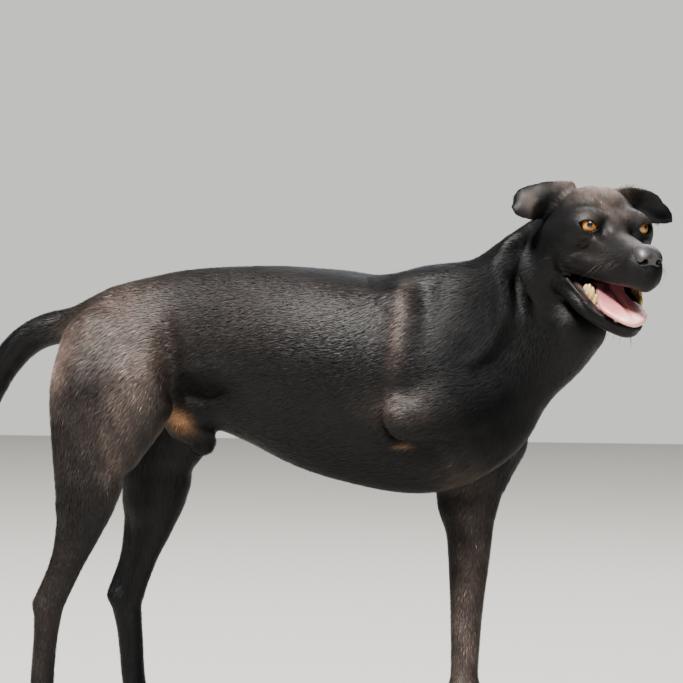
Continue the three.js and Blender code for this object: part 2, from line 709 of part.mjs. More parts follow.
const hindRegion = (s) => [
  { at: [-140, s * 40, 378], normal: [-0.25, s * 0.7, -0.67] },
  { at: [-102, s * 50, 360], normal: [-1, 0, 0] },
  { at: [-180, s * 14, 370], normal: [-0.2, s, 0] },
  opposite(CUTS.tail),
];
const REGIONS = {
  hindRight: hindRegion(-1),
  hindLeft: hindRegion(1),
  foreLeft: [
    { at: [150, 30, 330], normal: [0.1, 0.75, -0.65] },
    { at: [150, 14, 300], normal: [0, 1, 0.1] },
    { at: [112, 50, 320], normal: [0.9, 0.1, -0.4] },
  ],
  stump: [
    { at: [160, -54, 350], normal: [0, -1, -0.15] },
    { at: [160, -60, 402], normal: [0, 0.15, -1] },
    { at: [100, -60, 350], normal: [1, 0, 0] },
    { at: [226, -60, 350], normal: [-1, 0, 0] },
    { at: [160, -60, 300], normal: [0, 0, 1] },
  ],
  head: [CUTS.head, opposite(CUTS.jaw)],
  jaw: [CUTS.jaw, CUTS.throat],
  sheath: [
    { at: [-105, 0, 322], normal: [0, 0, -1] },
    { at: [-140, 0, 322], normal: [1, 0, 0] },
    { at: [-80, 0, 322], normal: [-1, 0, 0] },
    { at: [0, -24, 0], normal: [0, 1, 0] },
    { at: [0, 24, 0], normal: [0, -1, 0] },
  ],
};

// The flesh in a box, kept inside every plane of keep and cleared from every region of clear.
function piece({ low, high, cell, keep = [], clear = [] }) {
  let solid = meshOf(flesh, low, high, cell);
  if (keep.length) solid = solid.intersect(within(keep, GAP / 2));
  for (const region of clear) solid = solid.subtract(within(region, -GAP / 2));
  return biggest(solid);
}

const limbs = [REGIONS.hindRight, REGIONS.hindLeft, REGIONS.foreLeft, REGIONS.stump, REGIONS.sheath];
const solids = {};

// ---------------------------------------------------------------- trunk, neck and tail

const torso = { low: [-262, -102, 250], high: [262, 102, 520], cell: [25, 22, 22] };
solids.chest = piece({
  ...torso,
  low: [10, -102, 250],
  keep: [CUTS.chest, opposite(CUTS.neck)],
  clear: limbs,
});
solids.loin = piece({
  ...torso,
  low: [-125, -102, 250],
  high: [45, 102, 520],
  keep: [opposite(CUTS.chest), opposite(CUTS.rump)],
  clear: limbs,
});
solids.rump = piece({
  ...torso,
  high: [-85, 102, 520],
  keep: [CUTS.rump, opposite(CUTS.tail)],
  clear: limbs,
});
solids.neck = piece({
  low: [130, -110, 260],
  high: [372, 80, 572],
  cell: 18,
  keep: [CUTS.neck],
  clear: [REGIONS.foreLeft, REGIONS.stump, REGIONS.head, REGIONS.jaw],
});
solids.tail_base = piece({
  low: [-370, -30, 320],
  high: [-215, 30, 480],
  cell: [15, 13, 15],
  keep: [CUTS.tail, opposite(CUTS.tailTip)],
});
solids.tail_tip = piece({
  low: [-400, -28, 205],
  high: [-325, 28, 375],
  cell: [11, 11, 17],
  keep: [CUTS.tailTip],
});
solids.sheath = piece({ low: [-144, -28, 290], high: [-76, 28, 330], cell: 9, keep: REGIONS.sheath });
solids.foreleg_right_stump = piece({
  low: [92, -112, 290],
  high: [236, -40, 412],
  cell: 14,
  keep: REGIONS.stump,
});

// ---------------------------------------------------------------- legs and paws

// Claws: places on the paw, root inside the toe and point clear of the floor.
const clawsOf = (foot) =>
  TOES.map(({ y, back }) => ({
    at: onPaw(foot, 26 - back, y * 1.05, 12.5),
    tall: PAW.claw.tall * foot.scale,
    wide: PAW.claw.wide * foot.scale,
    lean: v3([0.86, 0, -0.42])
      .applyAxisAngle(new THREE.Vector3(0, 0, 1), (foot.toeOut * Math.PI) / 180)
      .toArray(),
  }));

function addPaw(name, foot, cut, box) {
  const claws = clawsOf(foot);
  let solid = piece({ ...box, cell: 10, keep: [cut] });
  solid = solid.intersect(beyond(CUTS.floor.at, CUTS.floor.normal, 0));
  claws.forEach((claw, i) => {
    solid = solid.subtract(spike(claw, null, GAP));
    solids[`${name}_claw_${i + 1}`] = spike(claw, null);
  });
  solids[name] = biggest(solid);
}

for (const side of ["right", "left"]) {
  const leg = HIND[side];
  const s = side === "right" ? -1 : 1;
  const region = side === "right" ? REGIONS.hindRight : REGIONS.hindLeft;
  const knee = { at: leg.cuts.knee, normal: [-0.3, 0, -0.95] };
  const hock = { at: leg.cuts.hock, normal: [0.15, 0, -1] };
  const foot = { at: leg.cuts.foot, normal: [0.3, 0, -1] };
  const span = (low, high, zLow, zHigh) => ({
    low: [low, s < 0 ? -106 : 0, zLow],
    high: [high, s < 0 ? 0 : 106, zHigh],
  });
  solids[`hindleg_${side}_thigh`] = piece({
    ...span(-262, -88, 262, 460),
    cell: [22, 20, 24],
    keep: [...region, opposite(knee)],
    clear: [REGIONS.sheath],
  });
  solids[`hindleg_${side}_shank`] = piece({
    ...span(-276, -110, 144, 340),
    cell: [14, 14, 20],
    keep: [...region, knee, opposite(hock)],
  });
  solids[`hindleg_${side}_metatarsus`] = piece({
    ...span(-285, -165, 22, 184),
    cell: [11, 11, 18],
    keep: [hock, opposite(foot)],
  });
  addPaw(`hindleg_${side}_paw`, leg.paw, foot, span(leg.paw.at[0] - 45, leg.paw.at[0] + 48, -8, 62));
}

const elbow = { at: FORE.cuts.elbow, normal: [0.1, 0, -1] };
const wrist = { at: FORE.cuts.wrist, normal: [0, 0, -1] };
const foreFoot = { at: FORE.cuts.foot, normal: [0.35, 0, -1] };
solids.foreleg_left_upper = piece({
  low: [90, 6, 236],
  high: [262, 104, 450],
  cell: [20, 18, 22],
  keep: [...REGIONS.foreLeft, opposite(elbow)],
});
solids.foreleg_left_forearm = piece({
  low: [122, -8, 62],
  high: [206, 82, 290],
  cell: [14, 13, 26],
  keep: [elbow, opposite(wrist)],
});
solids.foreleg_left_pastern = piece({
  low: [134, -22, 24],
  high: [206, 46, 92],
  cell: 10.5,
  keep: [wrist, opposite(foreFoot)],
});
const dewclaw = { ...FORE.dewclaw, tall: 13, wide: 5 };
solids.foreleg_left_pastern = biggest(solids.foreleg_left_pastern.subtract(spike(dewclaw, null, GAP)));
solids.foreleg_left_dewclaw = spike(dewclaw, null);
addPaw("foreleg_left_paw", FORE.paw, foreFoot, { low: [138, -26, -8], high: [236, 48, 66] });

// ---------------------------------------------------------------- head

const headBox = { low: [236, -200, 410], high: [440, 30, 590] };
const eyeAt = (s) => [EYE.back, s * EYE.out, EYE.up];
const grown = (size) => size.map((c) => c + GAP);
const ears = { right: leaf(EARS.right), left: leaf(EARS.left) };

solids.tongue = leaf(TONGUE, 0, 12);
solids.ear_right = ears.right;
solids.ear_left = ears.left;
solids.nose = egg(NOSE.at, NOSE.size);
for (const [side, s] of [["right", -1], ["left", 1]]) {
  solids[`eye_${side}`] = egg(eyeAt(s), Array(3).fill(EYE.radius));
}

let head = piece({ ...headBox, cell: 10, keep: REGIONS.head });
let lowerJaw = piece({ ...headBox, cell: 9, keep: REGIONS.jaw });
for (const s of [-1, 1]) {
  for (const tooth of TEETH.upper(s)) head = head.add(spike(tooth, headFrame));
  for (const tooth of TEETH.lower(s)) lowerJaw = lowerJaw.add(spike(tooth, headFrame));
  head = head.subtract(egg(eyeAt(s), grown(Array(3).fill(EYE.radius))));
}
const softParts = [
  leaf(TONGUE, 2 * GAP, 12),
  leaf(EARS.right, 3 * GAP),
  leaf(EARS.left, 3 * GAP),
  egg(NOSE.at, grown(NOSE.size)),
];
for (const solid of softParts) {
  head = head.subtract(solid);
  lowerJaw = lowerJaw.subtract(solid);
}
solids.head = biggest(head);
solids.lower_jaw = biggest(lowerJaw);
solids.neck = biggest(solids.neck.subtract(leaf(TONGUE, 2 * GAP, 12)));

// ---------------------------------------------------------------- colours and the finished group

const COLOURS = {
  coat: { color: 0x1a1716, roughness: 0.5 },
  nose: { color: 0x232124, roughness: 0.45 },
  eye: { color: 0xb5701c, roughness: 0.08 },
  tongue: { color: 0xd98f93, roughness: 0.35 },
  claw: { color: 0x1d1a19, roughness: 0.4 },
};

const colourOf = (name) => {
  if (name.includes("claw")) return COLOURS.claw;
  if (name.startsWith("eye")) return COLOURS.eye;
  return COLOURS[name] ?? COLOURS.coat;
};

const dog = new THREE.Group();
for (const [name, solid] of Object.entries(solids)) {
  const mesh = new THREE.Mesh(
    geometryOf(solid),
    new THREE.MeshStandardMaterial({ ...colourOf(name), metalness: 0 }),
  );
  mesh.name = name;
  dog.add(mesh);
}

// The origin is put at the middle of the bottom of the dog's box.
const box = new THREE.Box3().setFromObject(dog);
const middle = box.getCenter(new THREE.Vector3());
for (const mesh of dog.children) mesh.geometry.translate(-middle.x, -middle.y, -box.min.z);

export default dog;
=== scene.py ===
# A life-size black dog standing on three legs: one skin under a short mesh coat, with eyes, nose,
# mouth, teeth and claws. Sizes in the dictionaries are millimetres: +X forward, +Y the dog's left,
# +Z up. placeOf() turns them into metres, at the place where the frame has them.
import math

import bpy
import numpy as np
from mathutils import Matrix, Vector


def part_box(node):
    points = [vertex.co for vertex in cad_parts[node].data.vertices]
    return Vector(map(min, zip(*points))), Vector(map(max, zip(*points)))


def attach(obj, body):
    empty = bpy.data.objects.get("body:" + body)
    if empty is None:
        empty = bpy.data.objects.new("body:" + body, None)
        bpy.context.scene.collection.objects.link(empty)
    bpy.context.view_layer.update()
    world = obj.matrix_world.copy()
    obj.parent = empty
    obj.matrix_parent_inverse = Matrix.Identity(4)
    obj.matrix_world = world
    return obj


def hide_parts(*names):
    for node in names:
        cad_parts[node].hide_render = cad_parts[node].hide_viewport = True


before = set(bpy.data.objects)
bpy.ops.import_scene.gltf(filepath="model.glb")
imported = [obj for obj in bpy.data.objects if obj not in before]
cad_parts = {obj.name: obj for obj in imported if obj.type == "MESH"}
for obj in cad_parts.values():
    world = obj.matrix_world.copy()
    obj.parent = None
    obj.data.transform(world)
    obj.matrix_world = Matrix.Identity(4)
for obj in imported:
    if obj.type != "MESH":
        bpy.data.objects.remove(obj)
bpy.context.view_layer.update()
bpy.ops.object.select_all(action="DESELECT")

# Shapes are fields: the distance to the surface for an array of points, negative inside.
farAway = 400.0  # what a field says beyond its box
fieldReach = 30  # how far round its box a shape is still read


def curvePoints(points, count):  # a centripetal Catmull-Rom curve, read at even steps
    p = np.asarray(points, float)
    p = np.vstack([2 * p[0] - p[1], p, 2 * p[-1] - p[-2]])
    out = []
    for i in range(count + 1):
        t = i / count * (len(p) - 3)
        s = min(int(t), len(p) - 4)
        t -= s
        a, b, c, d = p[s : s + 4]
        gaps = [max(np.sum((v - u) ** 2) ** 0.25, 1e-4) for u, v in ((a, b), (b, c), (c, d))]
        m1 = gaps[1] * ((b - a) / gaps[0] - (c - a) / (gaps[0] + gaps[1]) + (c - b) / gaps[1])
        m2 = gaps[1] * ((c - b) / gaps[1] - (d - b) / (gaps[1] + gaps[2]) + (d - c) / gaps[2])
        out.append(b + m1 * t + (3 * (c - b) - 2 * m1 - m2) * t**2 + (2 * (b - c) + m1 + m2) * t**3)
    return np.array(out)


def inBox(low, high, reach, field):  # reads the field near its box only
    low, high = np.asarray(low) - reach, np.asarray(high) + reach

    def read(p):
        d = np.full(len(p), farAway, np.float32)
        near = np.all((p > low) & (p < high), axis=1)
        if near.any():
            d[near] = field(p[near])
        return d

    return read


def tube(stations, steps=4):  # stations are (x, y, z, radius fore and aft, radius across)
    stations = np.asarray(stations, float)
    count = (len(stations) - 1) * steps
    path = curvePoints(stations[:, :3], count)
    order = 20.0 * np.arange(len(stations))  # keeps the radii evenly spaced along the curve
    radii = curvePoints(np.column_stack([stations[:, 3:], order]), count)[:, :2]

    def read(p):
        x, y, z = (np.ascontiguousarray(p[:, i]) for i in range(3))
        best = np.full(len(p), farAway, np.float32)
        for a, b, ra, rb in zip(path[:-1], path[1:], radii[:-1], radii[1:]):
            e = b - a
            t = np.clip(((x - a[0]) * e[0] + (y - a[1]) * e[1] + (z - a[2]) * e[2]) / (e @ e), 0, 1)
            deep = ra[0] + t * (rb[0] - ra[0])
            wide = ra[1] + t * (rb[1] - ra[1])
            across = (y - a[1] - t * e[1]) * deep / wide
            d = np.sqrt((x - a[0] - t * e[0]) ** 2 + across**2 + (z - a[2] - t * e[2]) ** 2) - deep
            np.minimum(best, d * np.minimum(1, wide / deep), out=best)
        return best

    most = radii.max()
    return inBox(path.min(0) - most, path.max(0) + most, fieldReach, read)


def spin(degrees, axis, size=3):
    return Matrix.Rotation(math.radians(degrees), size, axis)


def turned(yaw=0, pitch=0):
    return np.array(spin(yaw, "Z") @ spin(pitch, "Y"))


def lump(at, size, yaw=0, pitch=0):  # an ellipsoid
    axes = turned(yaw, pitch)
    size = np.asarray(size, float)

    def read(p):
        q = (p - np.asarray(at)) @ axes / size
        k0 = np.sqrt((q**2).sum(1))
        k1 = np.sqrt(((q / size) ** 2).sum(1)) + 1e-9
        return k0 * (k0 - 1) / k1

    most = size.max()
    return inBox(np.asarray(at) - most, np.asarray(at) + most, fieldReach, read)


def softMin(a, b, k):
    h = np.maximum(k - np.abs(a - b), 0) / k
    return np.minimum(a, b) - h * h * k / 4


def blend(k, *fields):
    def read(p):
        d = fields[0](p)
        for field in fields[1:]:
            d = softMin(d, field(p), k)
        return d

    return read


def carve(k, a, b):
    return lambda p: -softMin(-a(p), b(p), k)


def bothSides(make):
    return [make(-1), make(1)]


def bump(at, size, rise, yaw=0, pitch=0):  # raises the surface by rise, or presses it in
    axes = turned(yaw, pitch) / np.asarray(size, float)
    return lambda p: rise * np.exp(-np.minimum((((p - np.asarray(at)) @ axes) ** 2).sum(1), 40))


def crest(path, wide, rise):  # a ridge along a curve, or a furrow when rise is below 0
    path = curvePoints(path, 4 * (len(path) - 1))
    low, high = path.min(0) - 3 * wide, path.max(0) + 3 * wide

    def read(p):
        out = np.zeros(len(p))
        near = np.flatnonzero(np.all((p > low) & (p < high), axis=1))
        if len(near):
            best = np.full(len(near), farAway**2)
            for a, b in zip(path[:-1], path[1:]):
                q, e = p[near] - a, b - a
                t = np.clip(q @ e / (e @ e), 0, 1)[:, None]
                np.minimum(best, ((q - t * e) ** 2).sum(1), out=best)
            out[near] = rise * np.exp(-best / wide**2)
        return out

    return read


def raised(field, bumps):
    def read(p):
        d = field(p)
        for each in bumps:
            d = d - each(p)
        return d

    return read


# The body's sizes. Each station is x, y, z, radius fore and aft, radius across.
torso = {
    "trunk": [  # x, top line, under line, half width
        (-196, 468, 384, 44), (-160, 485, 346, 58), (-110, 495, 330, 59), (-60, 498, 325, 63),
        (-15, 498, 309, 70), (35, 494, 286, 77), (80, 489, 274, 80), (125, 492, 268, 78),
        (155, 482, 282, 63), (157, 388, 294, 45),
    ],
    "nape": [
        (146, 0, 452, 42, 38), (196, -1, 465, 41, 42), (238, -6, 494, 39, 41),
        (268, -6, 521, 32, 31),
    ],
    "core": [(150, 0, 400, 62, 60), (214, -4, 436, 56, 52), (262, -17, 480, 50, 48)],
    "throat": [
        (158, 2, 356, 33, 42), (226, -6, 393, 37, 37), (257, -17, 413, 40, 36),
        (289, -32, 436, 33, 34),
    ],
    "tail": [
        (-200, 0, 442, 26, 24), (-238, 0, 437, 19.5, 20), (-272, 0, 431, 18, 18),
        (-296, 0, 419, 17.5, 17.5), (-318, 0, 397, 17, 17), (-336, 0, 368, 16, 16),
        (-351, 0, 335, 14.5, 14.5), (-364, 0, 296, 12.5, 12.5), (-376, 0, 254, 9.5, 9.5),
        (-385, 0, 222, 5.5, 5.5),
    ],
    "sheath": [(-122, 0, 338, 22, 20), (-107, 0, 328, 18, 15), (-104, 0, 319, 16, 14)],
}

hindRight = {
    "ham": [
        (-192, -42, 409, 51, 35), (-196, -57, 368, 51, 36), (-202, -63, 310, 40, 31),
        (-207, -68, 262, 29, 25),
    ],
    "quad": [(-152, -44, 405, 42, 30), (-153, -60, 362, 40, 30), (-172, -65, 318, 31, 26)],
    "shank": [
        (-196, -68, 275, 30, 25), (-207, -69, 238, 23, 20), (-220, -70, 200, 15, 15),
        (-235, -71, 165, 12.5, 13),
    ],
    "tendon": [(-226, -68, 252, 8, 9), (-233, -70, 205, 7, 8), (-250, -72, 158, 9, 10.5)],
    "cannon": [
        (-243, -72, 150, 15, 14.5), (-246, -73, 118, 12.5, 13), (-249, -74, 60, 12.5, 14.5),
        (-243, -75, 34, 13, 16),
    ],
    "paw": {"at": (-233, -76), "toeOut": -6, "scale": 0.92},
}
hindLeft = {
    "ham": [
        (-184, 42, 409, 51, 35), (-186, 55, 368, 51, 36), (-178, 59, 312, 41, 31),
        (-181, 63, 262, 33, 26),
    ],
    "quad": [(-146, 38, 405, 42, 30), (-142, 52, 362, 40, 30), (-150, 60, 318, 32, 26)],
    "shank": [
        (-171, 63, 275, 33, 25), (-181, 64, 234, 25, 20), (-192, 65, 200, 18, 15.5),
        (-203, 66, 162, 13.5, 13),
    ],
    "tendon": [(-203, 63, 250, 8, 9), (-209, 64, 200, 7, 8), (-223, 66, 156, 9, 10.5)],
    "cannon": [
        (-211, 66, 148, 17, 14.5), (-207, 66, 118, 14, 13), (-202, 66, 62, 12.5, 14.5),
        (-195, 66, 34, 13, 16),
    ],
    "paw": {"at": (-184, 66), "toeOut": 6, "scale": 0.92},
}
foreLeft = {
    "shoulder": [(116, 34, 452, 26, 20), (148, 47, 400, 40, 29), (186, 48, 326, 34, 29)],
    "arm": [(189, 47, 322, 33, 29), (170, 50, 288, 35, 26), (158, 49, 256, 26, 22)],
    "elbow": [(126, 52, 340, 28, 21), (143, 50, 264, 11, 14)],
    "forearm": [
        (164, 46, 252, 27, 22), (165, 39, 205, 22, 19), (165, 29, 150, 17, 16),
        (165.5, 20, 96, 14.5, 15), (166, 16, 72, 15.5, 17),
    ],
    "pastern": [(166, 16, 72, 15, 16.5), (170, 13, 50, 13, 16), (175, 11, 34, 14, 18)],
    "carpalPad": {"at": (152, 16, 56), "size": (6, 7, 7)},
    "paw": {"at": (185, 10), "toeOut": 2, "scale": 1},
}
stump = {
    "shoulder": [(118, -34, 452, 26, 20), (140, -48, 405, 38, 29), (168, -52, 372, 38, 30)],
    "arm": [(196, -42, 370, 37, 30), (164, -61, 353, 29, 26), (134, -73, 346, 23, 20)],
}
pawSizes = {
    "spread": 12.5, "outerBack": 7, "web": (24, 23, 13), "pad": (15, 17, 10),
    "toe": [  # x, how far it shares the outer toes' place and the spread, z, radii
        (-12, 0, 0.7, 27, 10, 9), (8, 1, 1, 23, 10, 8.4),
        (22, 1, 1.05, 14, 9, 7.8), (26, 1, 1.05, 7, 8, 7.6),
    ],
}

trunk = tube(
    [(x, 0, (top + low) / 2, (top - low) / 2, half) for x, top, low, half in torso["trunk"]], 5
)
neck = blend(16, tube(torso["nape"]), tube(torso["core"]), tube(torso["throat"]))


def hindLeg(leg):
    return blend(
        9,
        blend(14, tube(leg["ham"]), tube(leg["quad"])),
        blend(7, tube(leg["shank"]), tube(leg["tendon"])),
        tube(leg["cannon"]),
    )


def onPaw(foot, x, y, z):  # X to the toes, Y left, Z up from the floor
    turn = math.radians(foot["toeOut"])
    k = foot["scale"]
    return (
        foot["at"][0] + k * (x * math.cos(turn) - y * math.sin(turn)),
        foot["at"][1] + k * (x * math.sin(turn) + y * math.cos(turn)),
        k * z,
    )


def toe(foot, n):  # n is -1.5 and 1.5 for the outer toes, -0.5 and 0.5 for the inner ones
    k = foot["scale"]
    y = n * pawSizes["spread"]
    back = pawSizes["outerBack"] if abs(n) > 1 else 0
    return tube(
        [
            (*onPaw(foot, x - back * late, y * part, z), deep * k, wide * k)
            for x, late, part, z, deep, wide in pawSizes["toe"]
        ],
        3,
    )


def paw(foot):
    k = foot["scale"]
    digits = [toe(foot, n) for n in (-1.5, -0.5, 0.5, 1.5)]
    web = lump(onPaw(foot, 2, 0, 18), [c * k for c in pawSizes["web"]], foot["toeOut"])
    pad = lump(onPaw(foot, -6, 0, 8), [c * k for c in pawSizes["pad"]], foot["toeOut"])
    return blend(3.5, *digits, web, pad)


legs = blend(
    1,
    blend(8, hindLeg(hindRight), paw(hindRight["paw"])),
    blend(8, hindLeg(hindLeft), paw(hindLeft["paw"])),
    blend(
        8,
        blend(12, *(tube(foreLeft[part]) for part in ("shoulder", "arm", "elbow", "forearm"))),
        tube(foreLeft["pastern"]),
        lump(foreLeft["carpalPad"]["at"], foreLeft["carpalPad"]["size"]),
        paw(foreLeft["paw"]),
    ),
)
stumpField = blend(14, tube(stump["shoulder"]), tube(stump["arm"]))
bodyField = blend(20, trunk, neck, tube(torso["tail"]))

# The head has its own frame: X to the nose, Y left, Z up from between the eyes.
headPose = {"eyeLine": (340.6, -75, 533), "turn": -51, "nod": 9.5, "lean": 2}
headMatrix = (
    Matrix.Translation(headPose["eyeLine"])
    @ spin(headPose["turn"], "Z", 4)
    @ spin(headPose["nod"], "Y", 4)
    @ spin(-headPose["lean"], "X", 4)
)
headTurn = np.array(headMatrix.to_3x3())
headAt = np.array(headMatrix.translation)


def toHead(p):
    return (p - headAt) @ headTurn


def fromHead(p):
    return np.asarray(p, float) @ headTurn.T + headAt


eyes = {  # where each eyeball sits, how it looks out, and how far its clear front stands off
    "radius": 11, "back": -9.5, "ahead": 1.4, "out": 25.6, "up": -1,
    "lookOut": 25, "tilt": 9, "cornea": 0.9, "corneaWidth": 0.55,
}
eyeBoxes = [np.array(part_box(name)).mean(0) for name in ("eye_right", "eye_left")]
shift = 1000 * (eyeBoxes[0] + eyeBoxes[1]) / 2 - fromHead((eyes["back"], 0, eyes["up"]))
print("frame shift", shift.round(2))


def placeOf(p):  # modelling millimetres to metres in the frame
    return (np.asarray(p, float) + shift) / 1000


skullSizes = {
    "muzzle": [
        (-8, 0, -27, 26, 32), (20, 0, -27.5, 22.5, 26), (48, 0, -27.5, 19, 22),
        (62, 0, -27, 17.5, 18.5),
    ],
    "flew": [
        (-22, 34, -38, 12, 10), (6, 26, -38, 11.5, 9), (28, 21, -39, 11.5, 8.5),
        (50, 15, -38.5, 11.5, 8.5), (65, 9, -38, 11.5, 8.5), (70, 4, -38, 12, 8),
    ],
    "jaw": [
        (-50, 36, -50, 17, 14), (-22, 31.5, -66, 11, 9), (2, 25, -80, 8.5, 8),
        (22, 17, -86.5, 7.5, 7.5), (38, 9, -89, 6.5, 7), (44, 2.5, -89, 6, 7),
    ],
    "lip": [
        (-20, 36.5, -56, 2.2, 2.2), (-7, 34.5, -62, 2.4, 2.2), (13, 26.5, -75.5, 2.4, 2.2),
        (28, 21, -82, 2.6, 2.4), (40, 15.5, -85.5, 3.2, 3), (53, 8, -88.5, 3.2, 3),
        (58, 0, -89, 3, 3),
    ],
}


def tubePair(stations):  # a tube on each side of the head
    return bothSides(lambda s: tube([(x, s * y, z, deep, wide) for x, y, z, deep, wide in stations]))


cranium = blend(
    12,
    lump((-46, 0, -3), (38, 41, 35.5)),
    lump((-74, 0, -10), (33, 39, 32)),
    lump((-14, 0, -5), (22, 29, 15)),
    *bothSides(lambda s: lump((-15, s * 28, -2), (19, 15, 14.5), s * 10)),
    *bothSides(lambda s: lump((-34, s * 30, -14), (33, 18.5, 22), s * 5)),
    *bothSides(lambda s: lump((-56, s * 31, -35), (34, 21, 36))),
)
brows = bothSides(lambda s: lump((-12, s * 18, 6), (12, 11, 7), s * -20))
muzzle = blend(9, tube(skullSizes["muzzle"]), *tubePair(skullSizes["flew"]))
jaw = blend(
    8,
    *tubePair(skullSizes["jaw"]),
    lump((14, 0, -87), (37, 18, 9), 0, 12),
    lump((44, 0, -90), (14, 10, 7)),
)
mouthCorner = [
    (-21, 39, -51, 2.5, 3), (-10, 36, -54, 4, 5), (2, 30, -58, 6, 6), (16, 24, -60, 8, 8),
]
mouthHollow = blend(
    6,
    *tubePair(mouthCorner),
    lump((26, 0, -57), (50, 17, 13), 0, 3),
    lump((12, 0, -64), (38, 17, 9), 0, 16),
    lump((-14, 0, -55), (26, 22, 8), 0, 14),
)
skull = carve(3, blend(9, cranium, muzzle, *brows), mouthHollow)
headBase = blend(6, skull, blend(3, carve(3, jaw, mouthHollow), *tubePair(skullSizes["lip"])))

earSizes = {  # rows from root to tip: place, half height as a vector, half thickness, cup
    "right": [
        ((-58, -21, 16.5), (4, 0, 18), 6, 2), ((-63, -36, 14.5), (3, 0, 18.5), 4.5, 5),
        ((-66, -50, 12), (1, 0, 17.5), 3.6, 5), ((-67, -62, 9.5), (-5, -1, 16), 3.2, 4),
        ((-66, -71, 5), (-9, -3, 8), 2.8, 2.5), ((-66, -77, 3), (-5, -2, 4), 2.4, 1),
    ],
    "left": [
        ((-55, 22, 15), (4, 0, 15), 6, 2), ((-52, 36, 16.5), (2, 0, 18), 4.5, 5),
        ((-47, 51, 14.5), (0, 0, 16), 3.4, 5), ((-46, 64, 10), (-3, 0, 12), 3, 4),
        ((-48, 76, 6.5), (-5, 2, 8), 2.8, 2.5), ((-49, 83, 4), (-3, 1, 4), 2.4, 1),
    ],
}


def leaf(rows):  # a cupped flap, a flat oval section along its spine
    count = 7 * (len(rows) - 1)
    at = curvePoints([r[0] for r in rows], count)
    tall = curvePoints([r[1] for r in rows], count)
    rest = curvePoints([(r[2], r[3], 9 * i) for i, r in enumerate(rows)], count)[:, :2]

    def read(p):
        best = np.full(len(p), farAway, np.float32)
        for i in range(len(at) - 1):
            e = at[i + 1] - at[i]
            t = np.clip((p - at[i]) @ e / (e @ e), 0, 1)[:, None]
            q = p - at[i] - t * e
            up = tall[i] + t * (tall[i + 1] - tall[i])
            height = np.sqrt((up**2).sum(1))
            thick, cup = (rest[i] + t * (rest[i + 1] - rest[i])).T
            up = up / height[:, None]
            flat = np.cross(e / np.linalg.norm(e), up)
            flat /= np.linalg.norm(flat, axis=1)[:, None]
            u = (q * up).sum(1) / height
            steep = 4 * cup * np.clip(u, -1.2, 1.2) / height
            w = ((q * flat).sum(1) - cup * (2 * np.minimum(u * u, 1.5) - 1)) / np.sqrt(1 + steep**2)
            s = (q @ e) / np.linalg.norm(e)
            k0 = np.sqrt(u**2 + (w / thick) ** 2 + (s / thick) ** 2) + 1e-6
            k1 = np.sqrt((u / height) ** 2 + (w / thick**2) ** 2 + (s / thick**2) ** 2) + 1e-6
            np.minimum(best, k0 * (k0 - 1) / k1, out=best)
        return best

    return inBox(at.min(0) - 22, at.max(0) + 22, 12, read)


def eyeFrame(s):  # origin, then the way it looks, across and up, for the eye on side s
    look = np.array(spin(s * eyes["lookOut"], "Z") @ Vector((1, 0, 0.02)))
    across = np.cross((0, 0, 1), look)
    tilt = math.radians(eyes["tilt"]) * s
    across = across * math.cos(tilt) + np.array((0, 0, 1)) * math.sin(tilt)
    across /= np.linalg.norm(across)
    at = np.array((eyes["back"] + eyes["ahead"], s * eyes["out"], eyes["up"]))
    return at, look, across, np.cross(look, across)


lids = {"width": 9.2, "upper": 5.2, "lower": 4.9, "thick": 1.7}


def lidOpening(s):
    at, look, across, up = eyeFrame(s)

    def read(p):
        q = p - at
        h, v, out = q @ across, q @ up, q @ look
        arch = np.maximum(1 - (h / lids["width"]) ** 2, -2)
        high = np.where(v > 0, lids["upper"], lids["lower"]) * arch
        side = (np.abs(v) - high) * 0.75
        return np.maximum(np.maximum(side, np.abs(h) - lids["width"]), 2 - out)

    return inBox(at - 16, at + 16, 4, read)


lidMass = bothSides(lambda s: lump(eyeFrame(s)[0], [eyes["radius"] + lids["thick"]] * 3))
faceForms = [  # on both sides: x, how far out, z, size, rise, turn outwards
    (-13, 10, 15, (10, 5, 8), -1.7, 0),  # hollows beside the stop
    (-5, 22, 12, (9, 12, 5), 1.0, -20),  # upper brow ridge
    (8, 15, -6, (9, 5, 7), -2.4, 20),  # hollow inside each eye
    (3, 32, -11.5, (7, 7, 2.6), 1.3, 0),  # fold under the lid
    (13, 24, -14.5, (8, 5, 3), 1.4, 0),
    (2, 33, -20, (14, 7, 4), -1.4, 25),
    (22, 23, -20, (22, 8, 7), 1.2, 0),  # whisker pad
    (28, 17, -9, (20, 5, 5), -1.2, 0),  # beside the bridge
    (-24, 43, -45, (8, 8, 5), 2.0, 0),  # smile fold from the corner forward
    (-9, 40, -38.5, (10, 8, 4.2), 2.2, 0),
    (8, 34, -33, (12, 8, 4.2), 1.8, 0),
    (28, 28, -32, (14, 8, 5), 0.8, 0),
    (0, 37, -26, (16, 8, 4.5), -1.3, 0),
    (-30, 42, -52, (9, 9, 9), -2.4, 0),
    (-40, 38, -24, (20, 12, 12), 2.0, 0),  # cheek
]
headDetail = [
    bump((-34, 0, 28), (20, 5, 12), -1.6),  # furrow up the forehead
    *[
        bump((x, s * out, z), size, rise, s * yaw)
        for x, out, z, size, rise, yaw in faceForms
        for s in (-1, 1)
    ],
    crest([(-57, -58, 12), (-57, -62, 6), (-56, -62, -3)], 4, 1.5),  # rim of the folded ear
    crest([(-54, -44, 14), (-53, -48, 8), (-52, -51, 0)], 5.5, -2.4),  # hollow beside it
]
headAll = blend(5, headBase, leaf(earSizes["right"]), leaf(earSizes["left"]))
headAll = blend(3.5, headAll, *lidMass)
headAll = raised(headAll, headDetail)
for s in (-1, 1):
    headAll = carve(0.9, headAll, lidOpening(s))

headLow, headHigh = np.array((-135, -100, -125)), np.array((100, 100, 60))
headField = inBox(headLow + 10, headHigh - 10, 10, headAll)


